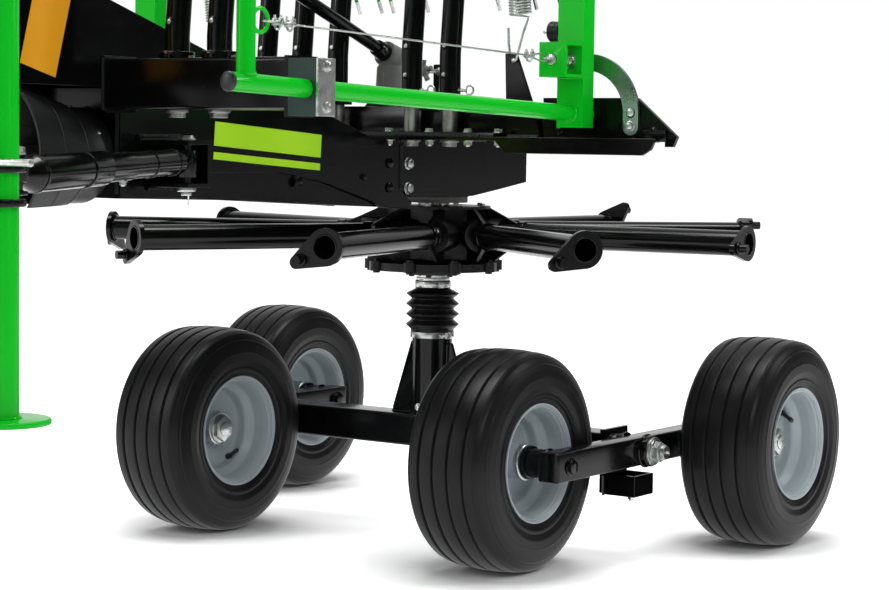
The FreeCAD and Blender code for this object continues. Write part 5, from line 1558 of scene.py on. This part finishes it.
    @staticmethod
    def stands():
        head = body_of("headstock_frame")
        for side, sign in SIDES.items():
            leg = body_of(f"stand_{side}")
            axis = mirrored(STAND_AT, sign)
            low, high = (corner.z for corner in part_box(f"stand_{side}"))
            bm = bmesh.new()
            foot, top = low + 0.0095, high - 0.0020
            turn_solid(bm, rounded([(0.0, low + 0.0002, 0), (0.0765, low + 0.0002, 0.002),
                                    (0.0765, foot, 0.003), (0.0282, foot, 0.002),
                                    (0.0276, low + 0.0150, 0.001), (0.0276, top, 0.001),
                                    (0.0, top, 0)], 4), aim(axis, Z), 96)
            skin(bm, "stand_" + side, "green")
            seam = circle_bead(axis + Z * (foot + 0.0010), Z, 0.0290)
            pipes([seam], f"stand_weld_{side}", leg, "green", 0.0030, 1, cyclic=True)
            cap = bmesh.new()
            turn_solid(cap, [(0.0, 0.0018), (0.0200, 0.0014), (0.0270, 0.0002), (0.0280, -0.0020),
                             (0.0, -0.0030)], aim(axis + Z * top, Z), 48)
            publish(cap, f"stand_cap_{side}", leg, "plastic", 50.0)
            collars, zinc = bmesh.new(), bmesh.new()
            for z in (0.7775, 0.8325):
                ring(collars, aim(axis, Z), (0.0284, 0.0345), (z - 0.0035, z + 0.0035), (0.0012, 0.0012), 64)
            publish(collars, f"stand_collars_{side}", head, "black")
            pin = mirrored((1.7480, 0.330, 0.8415), sign)
            grip = pin + Y * sign * 0.0055
            rod(zinc, pin, pin + Y * sign * 0.170, 0.0058, segments=24, chamfer=0.001)
            rod(zinc, grip, grip + Z * 0.045, 0.0045, segments=20, chamfer=0.001)
            publish(zinc, f"stand_pin_{side}", head, "zinc")


# ---------------------------------------------------------------- stage

CAMERA_AT = (4.1312, 2.9098, 0.8870)
CAMERA_TURN = (34.858, 4.014, 0.735)    # heading from -X, dip and roll, in degrees
CAMERA_LENS = 90.82
LAMPS = (    # name, place, target, size, watts
    ("overhead", (0.2, -0.1, 4.4), (0.3, 0.0, 0.6), (4.4, 1.1), 170.0),
    ("front_strip", (2.9, 4.4, 3.4), (0.3, 0.0, 0.7), (3.2, 0.35), 62.0),
    ("left_strip", (-2.9, 3.9, 3.3), (0.0, 0.0, 0.6), (0.35, 2.6), 45.0),
    ("right_strip", (4.4, -2.4, 3.0), (0.5, 0.0, 0.6), (0.45, 3.0), 48.0))


class RAKE_OT_stage(bpy.types.Operator):
    """Makes the floor, the lights and the camera"""
    bl_idname = "rake.stage"
    bl_label = "Stage"

    def execute(self, context):
        scene = context.scene
        bm = bmesh.new()
        bmesh.ops.create_grid(bm, x_segments=1, y_segments=1, size=60.0)
        floor = to_object(bm, "floor")
        floor.data.materials.append(FINISHES["floor"])
        for lamp in LAMPS:
            self.light(*lamp)
        scene.world = self.world()
        scene.view_settings.view_transform = "Standard"
        self.camera(scene)
        return {"FINISHED"}

    @staticmethod
    def world():
        """White where it is seen. To shiny surfaces it is white behind and on the right, dark on the left."""
        shade = Shade(bpy.data.worlds.new("studio"))
        background = shade.tree.nodes["Background"]
        camera, shine = seen_directly(shade), shiny(shade)
        way = shade.add("ShaderNodeTexCoord", output="Generated")
        behind = shade.ramp(shade.dot(way, (-0.80, -0.56, 0.20)), 0.62, 0.97, 0.0, 1.0)
        right = shade.ramp(shade.dot(way, (0.80, -0.60, 0.05)), 0.66, 0.95, 0.0, 0.95)
        above = shade.ramp(shade.dot(way, (-0.20, -0.25, 0.95)), 0.75, 0.98, 0.0, 0.5)
        streak = shade.ramp(shade.dot(way, (-0.225, 0.974, 0.03)), 0.985, 0.997, 0.0, 1.0)
        plain = shade.ramp(camera + shine, 0.0, 1.0, 0.55, 0.0)
        shade.link(camera + shine * shade.ramp(behind + right + above + streak + 0.01, 0.0, 1.0) + plain,
                   background.inputs["Strength"])
        shade.link((1, 1, 1, 1), background.inputs["Color"])
        return shade.owner

    @staticmethod
    def light(name, place, target, size, watts):
        data = bpy.data.lights.new(name, "AREA")
        data.shape = "RECTANGLE"
        data.size, data.size_y = size
        data.energy = watts
        turn = (Vector(target) - Vector(place)).to_track_quat("-Z", "Y").to_matrix().to_4x4()
        place_data(data, name).matrix_world = Matrix.Translation(place) @ turn

    @staticmethod
    def camera(scene):
        data = bpy.data.cameras.new("camera")
        data.lens, data.sensor_width = CAMERA_LENS, 36.0
        data.clip_start, data.clip_end = 0.1, 200.0
        camera = place_data(data, "camera")
        heading, dip, roll = (math.radians(angle) for angle in CAMERA_TURN)
        level = Vector((-math.cos(heading), -math.sin(heading), 0))
        forward = level * math.cos(dip) - Z * math.sin(dip)
        right = forward.cross(Z).normalized()
        up = right.cross(forward)
        across = right * math.cos(roll) + up * math.sin(roll)
        above = up * math.cos(roll) - right * math.sin(roll)
        turn = Matrix((across, above, -forward)).transposed().to_4x4()
        camera.matrix_world = Matrix.Translation(CAMERA_AT) @ turn
        scene.camera = camera


class RAKE_PT_panel(bpy.types.Panel):
    """Lists the rake's pieces"""
    bl_idname = "RAKE_PT_panel"
    bl_label = "Hay Rake"
    bl_space_type = "VIEW_3D"
    bl_region_type = "UI"
    bl_category = "Hay Rake"

    def draw(self, context):
        for group in GROUPS:
            for name in group.__annotations__:
                self.layout.prop(getattr(context.scene, SCENE_NAMES[group]), name)
        for operator in OPERATORS:
            self.layout.operator(operator.bl_idname)


GROUPS = (RakeFinish, RakeTyre, RakeTine, RakeSpring)
SCENE_NAMES = {RakeFinish: "rake_finish", RakeTyre: "rake_tyre", RakeTine: "rake_tine",
               RakeSpring: "rake_spring"}
OPERATORS = (RAKE_OT_frame, RAKE_OT_wheels, RAKE_OT_chassis, RAKE_OT_rotor, RAKE_OT_beam, RAKE_OT_crank,
             RAKE_OT_tines, RAKE_OT_guards, RAKE_OT_front, RAKE_OT_stage)


def register():
    for made in (*GROUPS, *OPERATORS, RAKE_PT_panel):
        bpy.utils.register_class(made)
    for group, name in SCENE_NAMES.items():
        setattr(bpy.types.Scene, name, PointerProperty(type=group))


def unregister():
    for name in SCENE_NAMES.values():
        delattr(bpy.types.Scene, name)
    for made in reversed((*GROUPS, *OPERATORS, RAKE_PT_panel)):
        bpy.utils.unregister_class(made)


def main():
    register()
    for operator in OPERATORS:
        family, name = operator.bl_idname.split(".")
        getattr(getattr(bpy.ops, family), name)()


if __name__ == "__main__":
    main()
